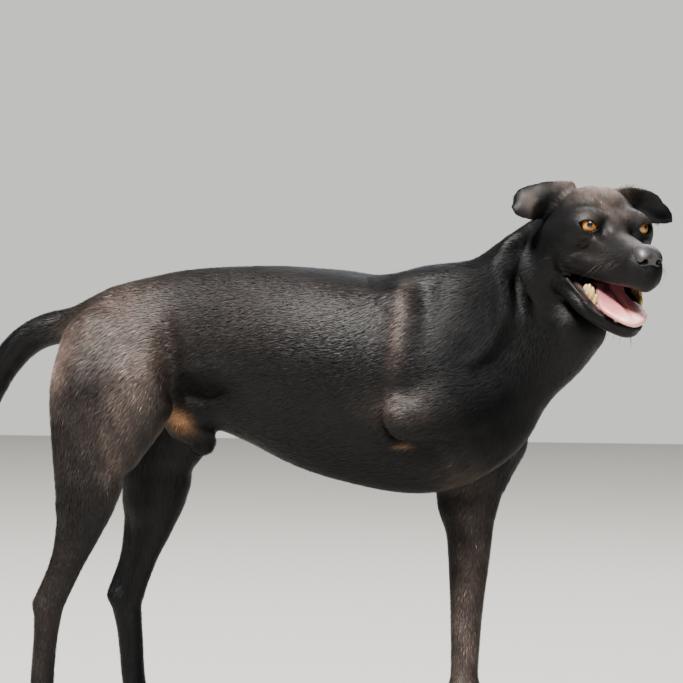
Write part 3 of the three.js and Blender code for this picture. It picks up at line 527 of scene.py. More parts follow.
def inHead(field):
    return lambda p: field(toHead(p))


bodyDetail = [
    bump((-112, -72, 408), (8, 24, 36), -10, 0, -4),  # the thigh's front edge
    bump((-129, -80, 404), (8, 24, 38), 3.5, 0, -4),
    bump((-92, -58, 371), (32, 24, 10), -15),  # deep fold of the flank
    bump((-84, -70, 394), (24, 18, 9), 3),
    bump((-84, -62, 353), (28, 18, 6), 3),
    bump((-180, -94, 322), (5, 16, 58), -2.4, 0, -4),  # groove down the thigh
    bump((-200, -95, 345), (14, 14, 60), 2),
    bump((-158, -92, 395), (28, 16, 40), 2.5),
    crest(  # crease round the end of the stump and under it
        [
            (106, -80, 364), (103, -78, 348), (107, -74, 333), (115, -69, 324),
            (127, -66, 318), (141, -63, 315), (158, -58, 312),
        ],
        5.5,
        -5.5,
    ),
    bump((121, -82, 352), (20, 14, 16), 3.5),
    crest(  # ridge of the shoulder blade
        [(125, -45, 470), (128, -64, 443), (128, -75, 418), (124, -78, 394)], 9, 3
    ),
    crest([(148, -40, 474), (153, -61, 443), (153, -75, 412), (158, -78, 388)], 11, -3.4),
    crest(  # neck muscle
        [
            (228, -28, 516), (227, -36, 497), (227, -50, 477),
            (225, -56, 448), (213, -59, 420), (197, -66, 404),
        ],
        7,
        4.5,
    ),
    crest([(241, -30, 512), (243, -40, 482), (244, -56, 450), (234, -56, 420)], 9, -5),
]
cheekFold = [  # behind the cheek, from the ear's root down to the throat
    (-82, -50, 4, 4, 4), (-88, -60, -24, 8, 8), (-86, -64, -44, 9, 9),
    (-77, -63, -66, 8, 8), (-62, -62, -84, 6, 6), (-46, -56, -98, 2, 2),
]
flesh = blend(
    8,
    carve(7, blend(8, blend(11, bodyField, legs), inHead(headField)), inHead(tube(cheekFold))),
    stumpField,
    tube(torso["sheath"]),
)
flesh = raised(flesh, bodyDetail)


def smoothStep(x, low, high):
    t = np.clip((x - low) / (high - low), 0, 1)
    return t * t * (3 - 2 * t)


coat = {  # depth of the coat in each place
    "trunk": 2.6, "head": 1.2, "muzzle": 0.7, "ears": 0.25, "legs": 1.4, "paws": 0.8,
    "eyes": 0.2, "bare": 0.15, "soles": 0.1,
}
coatTurns = {  # where one depth turns into the next
    "muzzle": (-10, 35), "legs": (200, 300), "paws": (40, 70), "eyes": (9, 17), "bare": (2, 7),
    "soles": (2, 8),
}


def headShare(q):  # 1 on the head, 0 on the neck and beyond
    return 1 - smoothStep(np.linalg.norm((q - (0, 0, -25)) / (1.35, 1, 1), axis=1), 84, 104)


def earShare(q):
    share = smoothStep(np.abs(q[:, 1]), 40, 50) * smoothStep(q[:, 2], -22, -12)
    share *= smoothStep(q[:, 0], -104, -92)
    return share * (1 - smoothStep(np.linalg.norm(q, axis=1), 112, 125))


def coatDepth(p):  # how far the skin lies under the tips of the coat
    q = toHead(p)
    head = headShare(q)
    depth = coat["trunk"] + (coat["head"] - coat["trunk"]) * head
    depth += (coat["muzzle"] - depth) * (smoothStep(q[:, 0], *coatTurns["muzzle"]) * head)
    depth += (coat["ears"] - depth) * earShare(q)
    depth += (coat["legs"] - depth) * (1 - smoothStep(p[:, 2], *coatTurns["legs"]))
    depth += (coat["paws"] - depth) * (1 - smoothStep(p[:, 2], *coatTurns["paws"]))
    for s in (-1, 1):
        at, look = eyeFrame(s)[:2]
        away = np.linalg.norm(q - (at + 6 * look), axis=1)
        depth += (coat["eyes"] - depth) * (1 - smoothStep(away, *coatTurns["eyes"]))
    mouth = 1 - smoothStep(mouthHollow(q), *coatTurns["bare"])
    depth += (coat["bare"] - depth) * mouth * head
    depth += (coat["soles"] - depth) * (1 - smoothStep(p[:, 2], *coatTurns["soles"]))
    return depth


def skinField(p):
    return flesh(p) + coatDepth(p)


def cellsOf(counts):  # the whole numbers of all cells of a grid
    return np.stack(np.meshgrid(*(np.arange(c) for c in counts), indexing="ij"), -1).reshape(-1, 3)


def netOf(field, low, high, cell):  # a vertex in each grid cell that the surface crosses
    low = np.asarray(low, float)
    size = np.ceil((np.asarray(high) - low) / cell).astype(int) + 1
    block, atOnce = 5, 400000  # cells along a block, and points that are read at a time
    coarse = np.ceil(size / block).astype(int)
    value = np.full(coarse * block, farAway, np.float32)
    corner = cellsOf(coarse)
    middle = low + (corner * block + (block - 1) / 2) * cell
    rough = field(middle)
    near = np.abs(rough) < 0.87 * block * cell + 14  # half a block's diagonal and a blend's reach
    view = value.reshape(coarse[0], block, coarse[1], block, coarse[2], block)
    view[:] = np.where(near, farAway, rough).reshape(coarse)[:, None, :, None, :, None]
    grid = cellsOf((block, block, block))
    chosen = corner[near]
    for part in np.array_split(np.arange(len(chosen)), max(1, len(chosen) * block**3 // atOnce)):
        places = (chosen[part, None] * block + grid[None]).reshape(-1, 3)
        value[places[:, 0], places[:, 1], places[:, 2]] = field(low + places * cell)
    value = value[: size[0], : size[1], : size[2]]
    for axis in range(3):  # the grid's outer faces lie outside, so the mesh is closed
        for end in (0, -1):
            face = [slice(None)] * 3
            face[axis] = end
            value[tuple(face)] = np.maximum(value[tuple(face)], 0.01)
    inside = value < 0
    stride = np.array((size[1] * size[2], size[2], 1))
    total = int(np.prod(size))
    sums = [np.zeros(total) for _ in range(3)]
    hits = np.zeros(total)
    quads = []
    for axis in range(3):
        a = [slice(None)] * 3
        b = [slice(None)] * 3
        a[axis], b[axis] = slice(0, -1), slice(1, None)
        ia, ib = inside[tuple(a)], inside[tuple(b)]
        where = np.argwhere(ia != ib)
        va = value[tuple(a)][tuple(where.T)]
        vb = value[tuple(b)][tuple(where.T)]
        point = where.astype(float)
        point[:, axis] += va / (va - vb)
        u, w = [(1, 2), (2, 0), (0, 1)][axis]
        base = where @ stride
        ring = [base - stride[u] - stride[w], base - stride[w], base, base - stride[u]]
        for cells in ring:
            for m in range(3):
                sums[m] += np.bincount(cells, point[:, m], total)
            hits += np.bincount(cells, minlength=total)
        quad = np.column_stack(ring)
        outward = ia[tuple(where.T)]
        quad[~outward] = quad[~outward][:, ::-1]
        quads.append(quad)
    used = np.flatnonzero(hits)
    points = low + np.column_stack([s[used] / hits[used] for s in sums]) * cell
    lookup = np.full(total, -1)
    lookup[used] = np.arange(len(used))
    return points, lookup[np.vstack(quads)].tolist()


def slopeOf(field, p, e=0.25):
    out = np.zeros_like(p)
    for axis in range(3):
        step = np.zeros(3)
        step[axis] = e
        out[:, axis] = (field(p + step) - field(p - step)) / (2 * e)
    return out


def settle(field, p, most, rounds=2):  # moves points onto the surface
    start = p.copy()
    for _ in range(rounds):
        g = slopeOf(field, p)
        gg = np.maximum((g**2).sum(1), 0.1)
        move = -(field(p) / gg)[:, None] * g
        p = start + np.clip(p + move - start, -most, most)
    return p


def meshFrom(name, points, faces):
    mesh = bpy.data.meshes.new(name)
    mesh.from_pydata(points.tolist(), [], faces)
    mesh.update()
    piece = bpy.data.objects.new(name, mesh)
    bpy.context.scene.collection.objects.link(piece)
    return piece


def selectFaces(piece, chosen):  # in object mode; chosen is one truth value for each face
    mesh = piece.data
    mesh.vertices.foreach_set("select", np.zeros(len(mesh.vertices), bool))
    mesh.edges.foreach_set("select", np.zeros(len(mesh.edges), bool))
    mesh.polygons.foreach_set("select", np.asarray(chosen, bool))
    mesh.update()


def readAll(items, what, wide=3, kind=float):
    out = np.zeros(len(items) * wide, kind)
    items.foreach_get(what, out)
    return out.reshape(-1, wide)


def pointsOf(piece):
    return readAll(piece.data.vertices, "co")


def cornersOf(piece):  # the vertex at each corner of each face
    return readAll(piece.data.loops, "vertex_index", 1, np.int32)[:, 0]


def setUv(layer, places):
    layer.data.foreach_set("uv", places.astype(np.float32).ravel())


def setPoints(piece, points):
    piece.data.vertices.foreach_set("co", np.asarray(points, float).ravel())
    piece.data.update()


def activate(*pieces):
    bpy.ops.object.select_all(action="DESELECT")
    for each in pieces:
        each.select_set(True)
    bpy.context.view_layer.objects.active = pieces[0]


def refine(piece, chosen, most):  # splits the faces whose middles are chosen, and settles them
    activate(piece)
    selectFaces(piece, chosen(readAll(piece.data.polygons, "center")))
    before = len(piece.data.vertices)
    bpy.ops.object.mode_set(mode="EDIT")
    bpy.ops.mesh.select_mode(type="FACE")
    bpy.ops.mesh.subdivide(number_cuts=1)
    bpy.ops.object.mode_set(mode="OBJECT")
    points = pointsOf(piece)
    fresh = np.arange(len(points)) >= before
    points[fresh] = settle(skinField, points[fresh], most, 3)
    setPoints(piece, points)


skinSizes = {
    "halves": [  # low and high corner, cell, side of the cut
        ((-402, -128, -8), (402, 128, 590), 4.4, -1), ((196, -160, 372), (402, 30, 592), 1.7, 1),
    ],
    "cutAt": (246, -8, 462), "cutNormal": (0.8, -0.35, 0.45), "cutGap": 3.0,
    "pawTops": 48,  # faces below this are split once more, and so are those about the eyes
}


def makeSkin():
    normal = np.asarray(skinSizes["cutNormal"])
    normal = normal / np.linalg.norm(normal)
    cutAt = np.asarray(skinSizes["cutAt"], float)
    halves = []
    for low, high, cell, side in skinSizes["halves"]:
        half = meshFrom("half", *netOf(skinField, low, high, cell))
        activate(half)
        bpy.ops.object.mode_set(mode="EDIT")
        bpy.ops.mesh.select_all(action="SELECT")
        bpy.ops.mesh.bisect(
            plane_co=tuple(cutAt + side * normal * skinSizes["cutGap"] / 2),
            plane_no=tuple(normal),
            clear_inner=side > 0,
            clear_outer=side < 0,
        )
        bpy.ops.object.mode_set(mode="OBJECT")
        halves.append(half)
    activate(*halves)
    bpy.ops.object.join()
    skin = halves[0]
    skin.name = skin.data.name = "skin"
    bpy.ops.object.mode_set(mode="EDIT")
    bpy.ops.mesh.select_mode(type="EDGE")
    bpy.ops.mesh.select_all(action="DESELECT")
    others = ("use_wire", "use_multi_face", "use_non_contiguous", "use_verts")
    bpy.ops.mesh.select_non_manifold(extend=False, **dict.fromkeys(others, False))
    bpy.ops.mesh.bridge_edge_loops()
    bpy.ops.mesh.select_all(action="SELECT")
    bpy.ops.mesh.normals_make_consistent(inside=False)
    bpy.ops.object.mode_set(mode="OBJECT")
    setPoints(skin, settle(skinField, pointsOf(skin), 1.6))
    print("skin halves joined", len(skin.data.polygons))
    refine(skin, lambda p: p[:, 2] < skinSizes["pawTops"], 2)
    refine(skin, nearEyes, 1)
    return skin


def nearEyes(p):
    close = np.zeros(len(p), bool)
    for s in (-1, 1):
        at, look = eyeFrame(s)[:2]
        close |= np.linalg.norm(toHead(p) - at - 9 * look, axis=1) < 17
    return close


skin = makeSkin()
skin.data.shade_smooth()
skinPoints = pointsOf(skin)
setPoints(skin, placeOf(skinPoints))
print("skin", len(skin.data.vertices), len(skin.data.polygons))

# The lie of the coat, near a few places: the place, the way the hair runs, how far that holds.
lieOnBody = [
    ((150, 0, 500), (-1, 0, -0.1), 70), ((30, 0, 500), (-1, 0, 0), 80),
    ((-80, 0, 500), (-1, 0, -0.1), 80),
    ((-20, 0, 305), (-1, 0, 0.05), 60), ((90, 0, 268), (-1, 0, 0), 60),
    ((-190, 0, 475), (-1, 0, -0.2), 50),
    ((-190, -85, 350), (-0.45, 0, -0.9), 50), ((-185, 85, 350), (-0.45, 0, -0.9), 50),
    ((-230, -60, 330), (0.1, 0, -1), 40), ((-225, 60, 330), (0.1, 0, -1), 40),
    ((-215, -70, 240), (-0.2, 0, -1), 40), ((-190, 64, 240), (-0.2, 0, -1), 40),
    ((-245, -73, 120), (-0.05, 0, -1), 50), ((-207, 66, 120), (-0.05, 0, -1), 50),
    ((-225, -76, 20), (0.9, 0, -0.5), 22), ((-176, 66, 20), (0.9, 0, -0.5), 22),
    ((195, 10, 20), (0.9, 0, -0.5), 22), ((165, 30, 200), (-0.12, 0, -1), 60),
    ((166, 16, 90), (-0.05, 0, -1), 50), ((175, 60, 300), (-0.2, 0, -1), 50),
    ((240, 10, 340), (-0.15, 0, -1), 40), ((235, -30, 320), (-0.35, -0.1, -0.9), 30),
    ((215, 0, 270), (-0.9, 0, -0.5), 40), ((190, -75, 420), (-0.7, -0.1, -0.75), 36),
    ((196, 70, 420), (-0.55, 0.1, -0.85), 40), ((225, -45, 430), (-0.5, -0.1, -0.85), 36),
    ((255, -60, 400), (-0.25, -0.1, -0.95), 30), ((285, -40, 400), (-0.25, 0.2, -0.95), 28),
    ((240, 35, 440), (-0.6, 0.1, -0.8), 40), ((235, -45, 490), (-0.85, -0.1, -0.5), 30),
    ((225, 0, 525), (-0.95, 0, -0.3), 36), ((150, -80, 350), (-0.95, -0.1, -0.3), 34),
    ((200, -65, 365), (-0.75, -0.2, -0.6), 28), ((170, -75, 385), (-0.9, 0, -0.45), 30),
    ((-215, 0, 465), (-1, 0, -0.15), 30), ((-270, 0, 431), (-0.95, 0, -0.25), 30),
    ((-318, 0, 397), (-0.65, 0, -0.75), 30), ((-350, 0, 335), (-0.4, 0, -0.92), 36),
    ((-376, 0, 254), (-0.28, 0, -0.96), 40), ((-110, 0, 330), (0.3, 0, -0.9), 22),
]
lieOnSides = [  # as on the left, and mirrored on the right
    ((120, 60, 440), (-0.8, 0.1, -0.55), 60), ((20, 75, 400), (-1, 0, -0.28), 80),
    ((-80, 65, 410), (-1, 0, -0.32), 70), ((60, 70, 320), (-0.95, 0, -0.35), 60),
    ((-175, 60, 420), (-0.75, 0, -0.7), 50), ((-140, 85, 350), (-0.5, 0, -0.9), 45),
]
lieOnHead = [
    ((60, 0, -8), (-1, 0, 0.15), 16), ((30, 0, -4), (-1, 0, 0.1), 16),
    ((0, 0, 4), (-0.9, 0, 0.45), 14),
    ((-25, 0, 20), (-0.9, 0, 0.4), 18), ((-60, 0, 32), (-1, 0, 0), 24),
]
lieOnFace = [  # as on the left, and mirrored on the right
    ((60, 14, -25), (-0.9, 0.2, -0.45), 12), ((40, 20, -30), (-0.95, 0.1, -0.3), 14),
    ((12, 27, -30), (-1, 0.1, -0.05), 16), ((40, 14, -12), (-1, 0.1, 0.1), 10),
    ((6, 20, -8), (-0.9, 0.2, 0.25), 9), ((-6, 22, 11), (-0.5, 0.5, 0.7), 9),
    ((-14, 38, 4), (-0.8, 0.5, 0.2), 9), ((-4, 34, -16), (-0.8, 0.45, -0.35), 9),
    ((-40, 40, 0), (-1, 0.2, 0.1), 16), ((-40, 48, -25), (-1, 0.1, -0.2), 18),
    ((-20, 42, -38), (-0.95, 0.1, -0.3), 14), ((-60, 50, -45), (-0.95, 0.1, -0.45), 20),
    ((-80, 40, -20), (-1, 0, -0.4), 24), ((-48, 26, 24), (-0.9, 0.35, 0.1), 16),
    ((-40, 38, -70), (-0.95, 0, -0.3), 16), ((0, 28, -80), (-1, 0, -0.2), 14),
    ((40, 12, -94), (-1, 0, -0.1), 14), ((68, 8, -40), (-0.5, 0.3, -0.85), 9),
    ((-62, 45, 26), (0.1, 1, -0.1), 11), ((-60, 62, 14), (0, 0.9, -0.45), 12),
    ((-60, 76, 6), (0, 0.8, -0.6), 12),
]


def onBoth(rows):
    return [
        ((x, s * y, z), (a, s * b, c), reach)
        for s in (-1, 1)
        for (x, y, z), (a, b, c), reach in rows
    ]


lieRows = lieOnBody + onBoth(lieOnSides)
lieRows += [
    (fromHead(at), headTurn @ np.array(way), reach)
    for at, way, reach in lieOnHead + onBoth(lieOnFace)
]
lieAt, lieWay, lieReach = (np.array(column, float) for column in zip(*lieRows))
lieWay /= np.linalg.norm(lieWay, axis=1)[:, None]


def lieOf(p):
    way = np.zeros_like(p)
    for part in np.array_split(np.arange(len(p)), max(1, len(p) // 40000)):
        gap = ((p[part, None] - lieAt[None]) ** 2).sum(2) / lieReach**2
        way[part] = (gap + 0.04) ** -2.5 @ lieWay  # the nearest place counts most
    return way / np.linalg.norm(way, axis=1)[:, None]


def ripple(p, scale, seed):  # smooth noise from a few sine waves
    draw = np.random.default_rng(seed)
    total = np.zeros(len(p))
    for _ in range(7):
        k = draw.normal(size=3) / scale
        total += np.sin(p @ k + draw.uniform(0, 6.28))
    return total / 3.5


def nearness(p, at, size):  # 1 at a place, fading to 0 about it
    return np.exp(-(((p - at) / size) ** 2).sum(1))


hair = {  # length, width, and roots on each square millimetre
    "trunk": (9, 0.62, 0.8), "legs": (6.5, 0.55, 1.0), "paws": (4, 0.45, 1.5),
    "head": (4.6, 0.4, 2.3), "muzzle": (3, 0.34, 3.2), "ears": (2.6, 0.38, 2.6),
}
hairTurns = {"legs": (180, 300), "paws": (35, 65), "muzzle": (-5, 40)}
longer = [  # place, size, how much longer the hair is there, how far it stands off
    ((255, -20, 372), (30, 30, 30), 8, 1.5), ((225, -20, 300), (18, 20, 20), 9, 2),
    ((-60, -20, 318), (30, 30, 14), 6, 1.5), ((60, 0, 498), (30, 30, 10), 6, 1.5),
    ((-240, -60, 350), (14, 40, 60), 4, 1), ((-340, 0, 330), (30, 20, 60), 4, 1),
    ((-79, -72, 397), (12, 14, 10), 7, 2), (fromHead((-46, 4, 32)), (24, 20, 10), 1.5, 1.5),
]


def hairOf(p):  # length, width, density, for places on the skin
    q = toHead(p)
    head = headShare(q)
    shares = {
        "legs": 1 - smoothStep(p[:, 2], *hairTurns["legs"]),
        "paws": 1 - smoothStep(p[:, 2], *hairTurns["paws"]),
        "head": head,
        "muzzle": smoothStep(q[:, 0], *hairTurns["muzzle"]) * head,
        "ears": earShare(q),
    }
    out = np.tile(np.array(hair["trunk"], float), (len(p), 1))
    for name, share in shares.items():
        out += (np.array(hair[name]) - out) * share[:, None]
    return out.T


bareNose = {"at": (72, 0, -18.5), "size": (11.5, 13.5, 11.5)}


def bareness(p):  # 1 where no hair grows
    q = toHead(p)
    bare = 1 - smoothStep(mouthHollow(q), 1.2, 3.5)
    for s in (-1, 1):  # a rim 1.2 mm wide round the lids
        at, look, across, up = eyeFrame(s)
        h, v = (q - at) @ across, (q - at) @ up
        ring = np.sqrt((h / (lids["width"] + 1.2)) ** 2 + (v / (lids["upper"] + 1.2)) ** 2)
        ahead = ((q - at) @ look > 2) & (np.abs(h) < 20)
        bare = np.maximum(bare, np.where(ahead, 1 - smoothStep(ring, 0.95, 1.1), 0))
    away = np.linalg.norm((q - bareNose["at"]) / bareNose["size"], axis=1)
    bare = np.maximum(bare, 1 - smoothStep(away, 1.0, 1.12))
    return np.maximum(bare, 1 - smoothStep(p[:, 2], 1.5, 5))


def aroundOf(a, b):  # the way round an axis, from 0 to 1
    return np.arctan2(a, b) / (2 * math.pi) + 0.5


legAxes = [  # x and y, where the leg's strip starts
    ((-215, -70), 0.5), ((-200, 65), 0.62), ((165, 35), 0.74),
]


def unwrap(p):  # the skin laid out flat: each part unrolled about its own axis
    q = toHead(p)
    around = aroundOf(p[:, 1], p[:, 2] - 400)
    place = np.column_stack([0.02 + 0.96 * (p[:, 0] + 400) / 720, 0.52 + 0.46 * around])
    for (x, y), left in legAxes:
        own = (p[:, 2] < 330) & (np.hypot(p[:, 0] - x, p[:, 1] - y) < 75)
        own &= ((p[:, 0] > 0) == (x > 0)) & ((x > 0) | ((p[:, 1] < 0) == (y < 0)))
        around = aroundOf(p[own, 1] - y, p[own, 0] - x)
        place[own] = np.column_stack([left + 0.1 * around, 0.02 + 0.46 * p[own, 2] / 330])
    own = np.linalg.norm((q - (-20, 0, -25)) / (1.2, 1, 1), axis=1) < 85
    around = aroundOf(q[own, 1], q[own, 2] + 30)
    place[own] = np.column_stack([0.02 + 0.44 * (q[own, 0] + 120) / 220, 0.02 + 0.46 * around])
    return np.clip(place, 0.003, 0.997)


coatColoursAndSheen = {  # linear; the marks are painted sheen and highlights where light falls: place, size, how far the black turns to the sheen colour there
    # the second colour is a painted sheen, not a colour of the coat
    "black": (0.0023, 0.0024, 0.0028), "sheenBrown": (0.0245, 0.0186, 0.0163), "mostSheen": 8,
    # painted sheen and highlights on the lit thigh, rump, back, shoulder blade, stump and foreleg
    "sheenOnBody": [
        ((-140, -95, 402), (26, 60, 62), 3.4), ((-200, -90, 430), (44, 60, 34), 2.6),
        ((-236, -60, 400), (18, 60, 34), 5), ((-190, -90, 330), (50, 60, 50), 0.7),
        ((-165, -90, 300), (16, 40, 46), 1.6), ((-240, -80, 150), (50, 40, 90), 0.7),
        ((130, -85, 358), (34, 40, 16), 1.2), ((178, -6, 170), (24, 36, 120), 4.6),
        ((-60, -60, 470), (150, 60, 60), 0.5), ((126, -70, 440), (10, 50, 44), 2.0),
        ((-172, -50, 460), (30, 50, 24), 2.4),
    ],
    # painted highlights on the lit crown, brows, muzzle bridge, muzzle side, lid fold and ear rim
    "sheenOnHead": [
        ((-44, 2, 36), (40, 32, 16), 7), ((-6, 0, 10), (22, 14, 12), 1.6),
        ((26, 0, -4), (18, 14, 8), 1.2),
        ((56, 0, -8), (14, 12, 6), 2.4), ((30, -26, -30), (34, 14, 12), 0.5),
        ((-2, -28, 10), (10, 12, 5), 1.4),
        ((-2, 28, 10), (10, 12, 5), 1.4), ((4, -30, -15), (12, 8, 4), 1.0),
        ((-62, -64, 12), (6, 6, 16), 3),
    ],
    "spots": [  # the groin and the stump's scar: place, size, colour, strength, most
        ((-118, -36, 339), (13, 15, 11), (0.5, 0.26, 0.12), 1.3, 0.9),
        ((131, -64, 321), (7, 10, 2.2), (0.2, 0.12, 0.06), 0.6, 0.6),
    ],
}
coatMatte = {  # roughness of the hair, with the places where it is duller
    "plain": 0.48, "most": 0.9,
    "duller": [
        ((205, -50, 470), (30, 44, 40), 0.3), ((225, -60, 345), (46, 46, 76), 0.4),
        ((195, -80, 400), (44, 42, 48), 0.26), ((-60, -50, 462), (70, 60, 46), 0.2),
        ((60, 0, 280), (120, 80, 40), 0.25), ((-100, -50, 370), (40, 40, 26), 0.3),
    ],
}


def markingsAndPaintedLight(p):  # the coat's colour: black, with the groin's and scar's own colours, and painted sheen where light falls
    q = toHead(p)
    black, sheenBrown = np.array(coatColoursAndSheen["black"]), np.array(coatColoursAndSheen["sheenBrown"])
    sheenShare = np.zeros(len(p))
    for at, size, much in coatColoursAndSheen["sheenOnBody"]:
        sheenShare += much * nearness(p, at, size)
    for at, size, much in coatColoursAndSheen["sheenOnHead"]:
        sheenShare += much * nearness(q, at, size)
    # painted sheen: the black turns toward the second colour where light falls
    colour = black + (sheenBrown - black) * np.clip(sheenShare, 0, coatColoursAndSheen["mostSheen"])[:, None]
    for at, size, spot, much, most in coatColoursAndSheen["spots"]:
        share = np.clip(much * nearness(p, at, size), 0, most)
        colour += (np.array(spot) - colour) * share[:, None]
    return colour


def matteOf(p):
    matte = np.full(len(p), coatMatte["plain"])
    for at, size, much in coatMatte["duller"]:
        matte += much * nearness(p, at, size)
    return np.minimum(matte, coatMatte["most"])


def triangleMesh(name, points, faces):  # faces is a flat array, three corners to each
    mesh = bpy.data.meshes.new(name)
    mesh.vertices.add(len(points))
    mesh.vertices.foreach_set("co", np.ascontiguousarray(points, np.float32).ravel())
    mesh.loops.add(len(faces))
    mesh.loops.foreach_set("vertex_index", faces.astype(np.int32))
    mesh.polygons.add(len(faces) // 3)
    mesh.polygons.foreach_set("loop_start", np.arange(0, len(faces), 3, dtype=np.int32))
    mesh.update(calc_edges=True)
    mesh.validate()
    piece = bpy.data.objects.new(name, mesh)
    bpy.context.scene.collection.objects.link(piece)
    return piece


def colourPoints(piece, colours, matte=0.5):
    values = np.ascontiguousarray(np.broadcast_to(np.asarray(matte, np.float32), len(colours)))
    piece.data.attributes.new("matte", "FLOAT", "POINT").data.foreach_set("value", values)
    values = np.column_stack([colours, np.ones(len(colours))]).astype(np.float32)
    layer = piece.data.color_attributes.new("markingsAndPaintedLight", "FLOAT_COLOR", "POINT")
    layer.data.foreach_set("color", values.ravel())


tuft = {
    "wander": (0.2, 0.06, 0.08),  # how far it strays, in wide waves, in small ones and alone
    "length": (0.7, 1.3), "width": (0.75, 1.25), "rise": (0.25, 0.85),  # least and most share
    "rootDepth": 0.3, "leastRise": 0.1, "midRise": 0.7, "roll": 0.12,
    "round": 0.2, "glint": (0.1, 0.08),  # how the normals lean, to the sides and along
    "shade": (0.3, 0.3), "pale": (0.02, 3),  # share of pale hairs, and how pale they are
    "patch": 0.003, "twoFaces": 5.5,  # from this length on a hair has two faces
    "most": (190000, 95000),  # short and long tufts in a piece
}


def sowRoots():
    mesh = skin.data
    mesh.calc_loop_triangles()
    tri = readAll(mesh.loop_triangles, "vertices", 3, np.int32)
    a, b, c = (skinPoints[tri[:, i]] for i in range(3))
    area = np.linalg.norm(np.cross(b - a, c - a), axis=1) / 2
    middle = (a + b + c) / 3
    want = area * hairOf(middle)[2] * (1 - bareness(middle))
    draw = np.random.default_rng(7)
    count = np.floor(want + draw.uniform(size=len(want))).astype(int)
    own = tri[np.repeat(np.arange(len(tri)), count)]
    u, v = draw.uniform(size=(2, len(own)))
    flip = u + v > 1
    u[flip], v[flip] = 1 - u[flip], 1 - v[flip]
    w = 1 - u - v

    def mix(values):
        a, b, c = (values[own[:, i]] for i in range(3))
        return a * w[:, None] + b * u[:, None] + c * v[:, None]

    normal = mix(readAll(mesh.vertices, "normal"))
    return mix(skinPoints), normal / np.linalg.norm(normal, axis=1)[:, None]


def growCoat():
    root, normal = sowRoots()
    print("tufts", len(root))
    draw = np.random.default_rng(11)
    number = len(root)
    length, width, _ = hairOf(root)
    depth = coatDepth(root)
    for at, size, more, lift in longer:
        share = nearness(root, at, size)
        length += more * share
        depth += lift * share
    wide, small, alone = tuft["wander"]
    wander = wide * ripple(root, 30, 3) + small * ripple(root, 8, 5)
    wander += alone * draw.normal(size=number)
    way = lieOf(root)
    way -= (way * normal).sum(1)[:, None] * normal
    way /= np.linalg.norm(way, axis=1)[:, None] + 1e-6
    side = np.cross(normal, way)
    way = way * np.cos(wander)[:, None] + side * np.sin(wander)[:, None]
    side = np.cross(normal, way)
    length = length * draw.uniform(*tuft["length"], number)
    width = width * draw.uniform(*tuft["width"], number)
    rise = depth * draw.uniform(*tuft["rise"], number) + tuft["leastRise"]
    roll = draw.normal(size=number) * tuft["roll"]
    tilted = side * np.cos(roll)[:, None] + normal * np.sin(roll)[:, None]
    middle = root + way * (0.5 * length)[:, None]
    tip = root + way * length[:, None]
    middle += normal * (tuft["midRise"] * rise - skinField(middle))[:, None]
    tip += normal * (rise - skinField(tip))[:, None]
    half = tilted * (width / 2)[:, None]
    low = root - normal * tuft["rootDepth"]
    points = np.stack([low - half, low + half, low, middle + half, middle - half, tip], 1)
    leans = [lean * draw.normal(size=number) for lean in tuft["glint"]]
    glint = normal + side * leans[0][:, None] + way * leans[1][:, None]
    curve = side * tuft["round"]
    shine = np.stack([glint - curve, glint + curve, glint, glint + curve, glint - curve, glint], 1)
    shine /= np.linalg.norm(shine, axis=2)[..., None]
    alone, wide = tuft["shade"]
    shade = np.exp(draw.normal(size=number) * alone + wide * ripple(root, 9, 8))
    # the coat's colours with their painted sheen, varied at random from tuft to tuft
    colours = markingsAndPaintedLight(root) * shade[:, None]
    matte = matteOf(root)
    few, paler = tuft["pale"]
    colours[draw.uniform(size=number) < few] *= paler
    patch = unwrap(root)
    q = toHead(root)
    order = np.argsort(np.where(q[:, 0] > -120, 1000 - q[:, 0], 2000 - root[:, 0]))  # from the nose
    corner = np.array(((0, 0), (1, 0), (0.5, 0), (1, 0.5), (0, 0.5), (0.5, 1)))
    corner = corner * tuft["patch"] - tuft["patch"] / 2
    short = length < tuft["twoFaces"]
    kinds = ((short, (0, 1, 5), (1, 0, 2)), (~short, (2, 3, 4, 5), (1, 0, 2, 1, 2, 3)))
    pieces = []
    for (mine, chosen, pattern), most in zip(kinds, tuft["most"]):
        kept = order[mine[order]]
        for group in np.array_split(kept, int(np.ceil(len(kept) / most))):
            faces = (np.arange(len(group))[:, None] * len(chosen) + pattern).ravel()
            shape = placeOf(points[group][:, chosen].reshape(-1, 3))
            piece = triangleMesh(f"coat_{len(pieces) + 1}", shape, faces)
            each = len(chosen)
            colourPoints(piece, np.repeat(colours[group], each, 0), np.repeat(matte[group], each))
            places = (patch[group][:, None] + corner[list(chosen)][None])[:, pattern]
            setUv(piece.data.uv_layers.new(name="OFBake"), places)
            piece.data.shade_smooth()
            normals = shine[group][:, chosen].reshape(-1, 3)
            piece.data.normals_split_custom_set_from_vertices(normals.tolist())
            pieces.append(piece)
            print(piece.name, len(piece.data.polygons))
    return pieces


# the skin takes the coat's colours, painted sheen included, at four fifths
colourPoints(skin, markingsAndPaintedLight(skinPoints) * 0.8, matteOf(skinPoints))
coatPieces = growCoat()
print("coat pieces", len(coatPieces))

whiskers = {
    "steps": 5, "radius": 0.19, "tip": 0.03, "stray": 0.22, "sag": 0.2,
    "colour": (0.03, 0.027, 0.025),
}


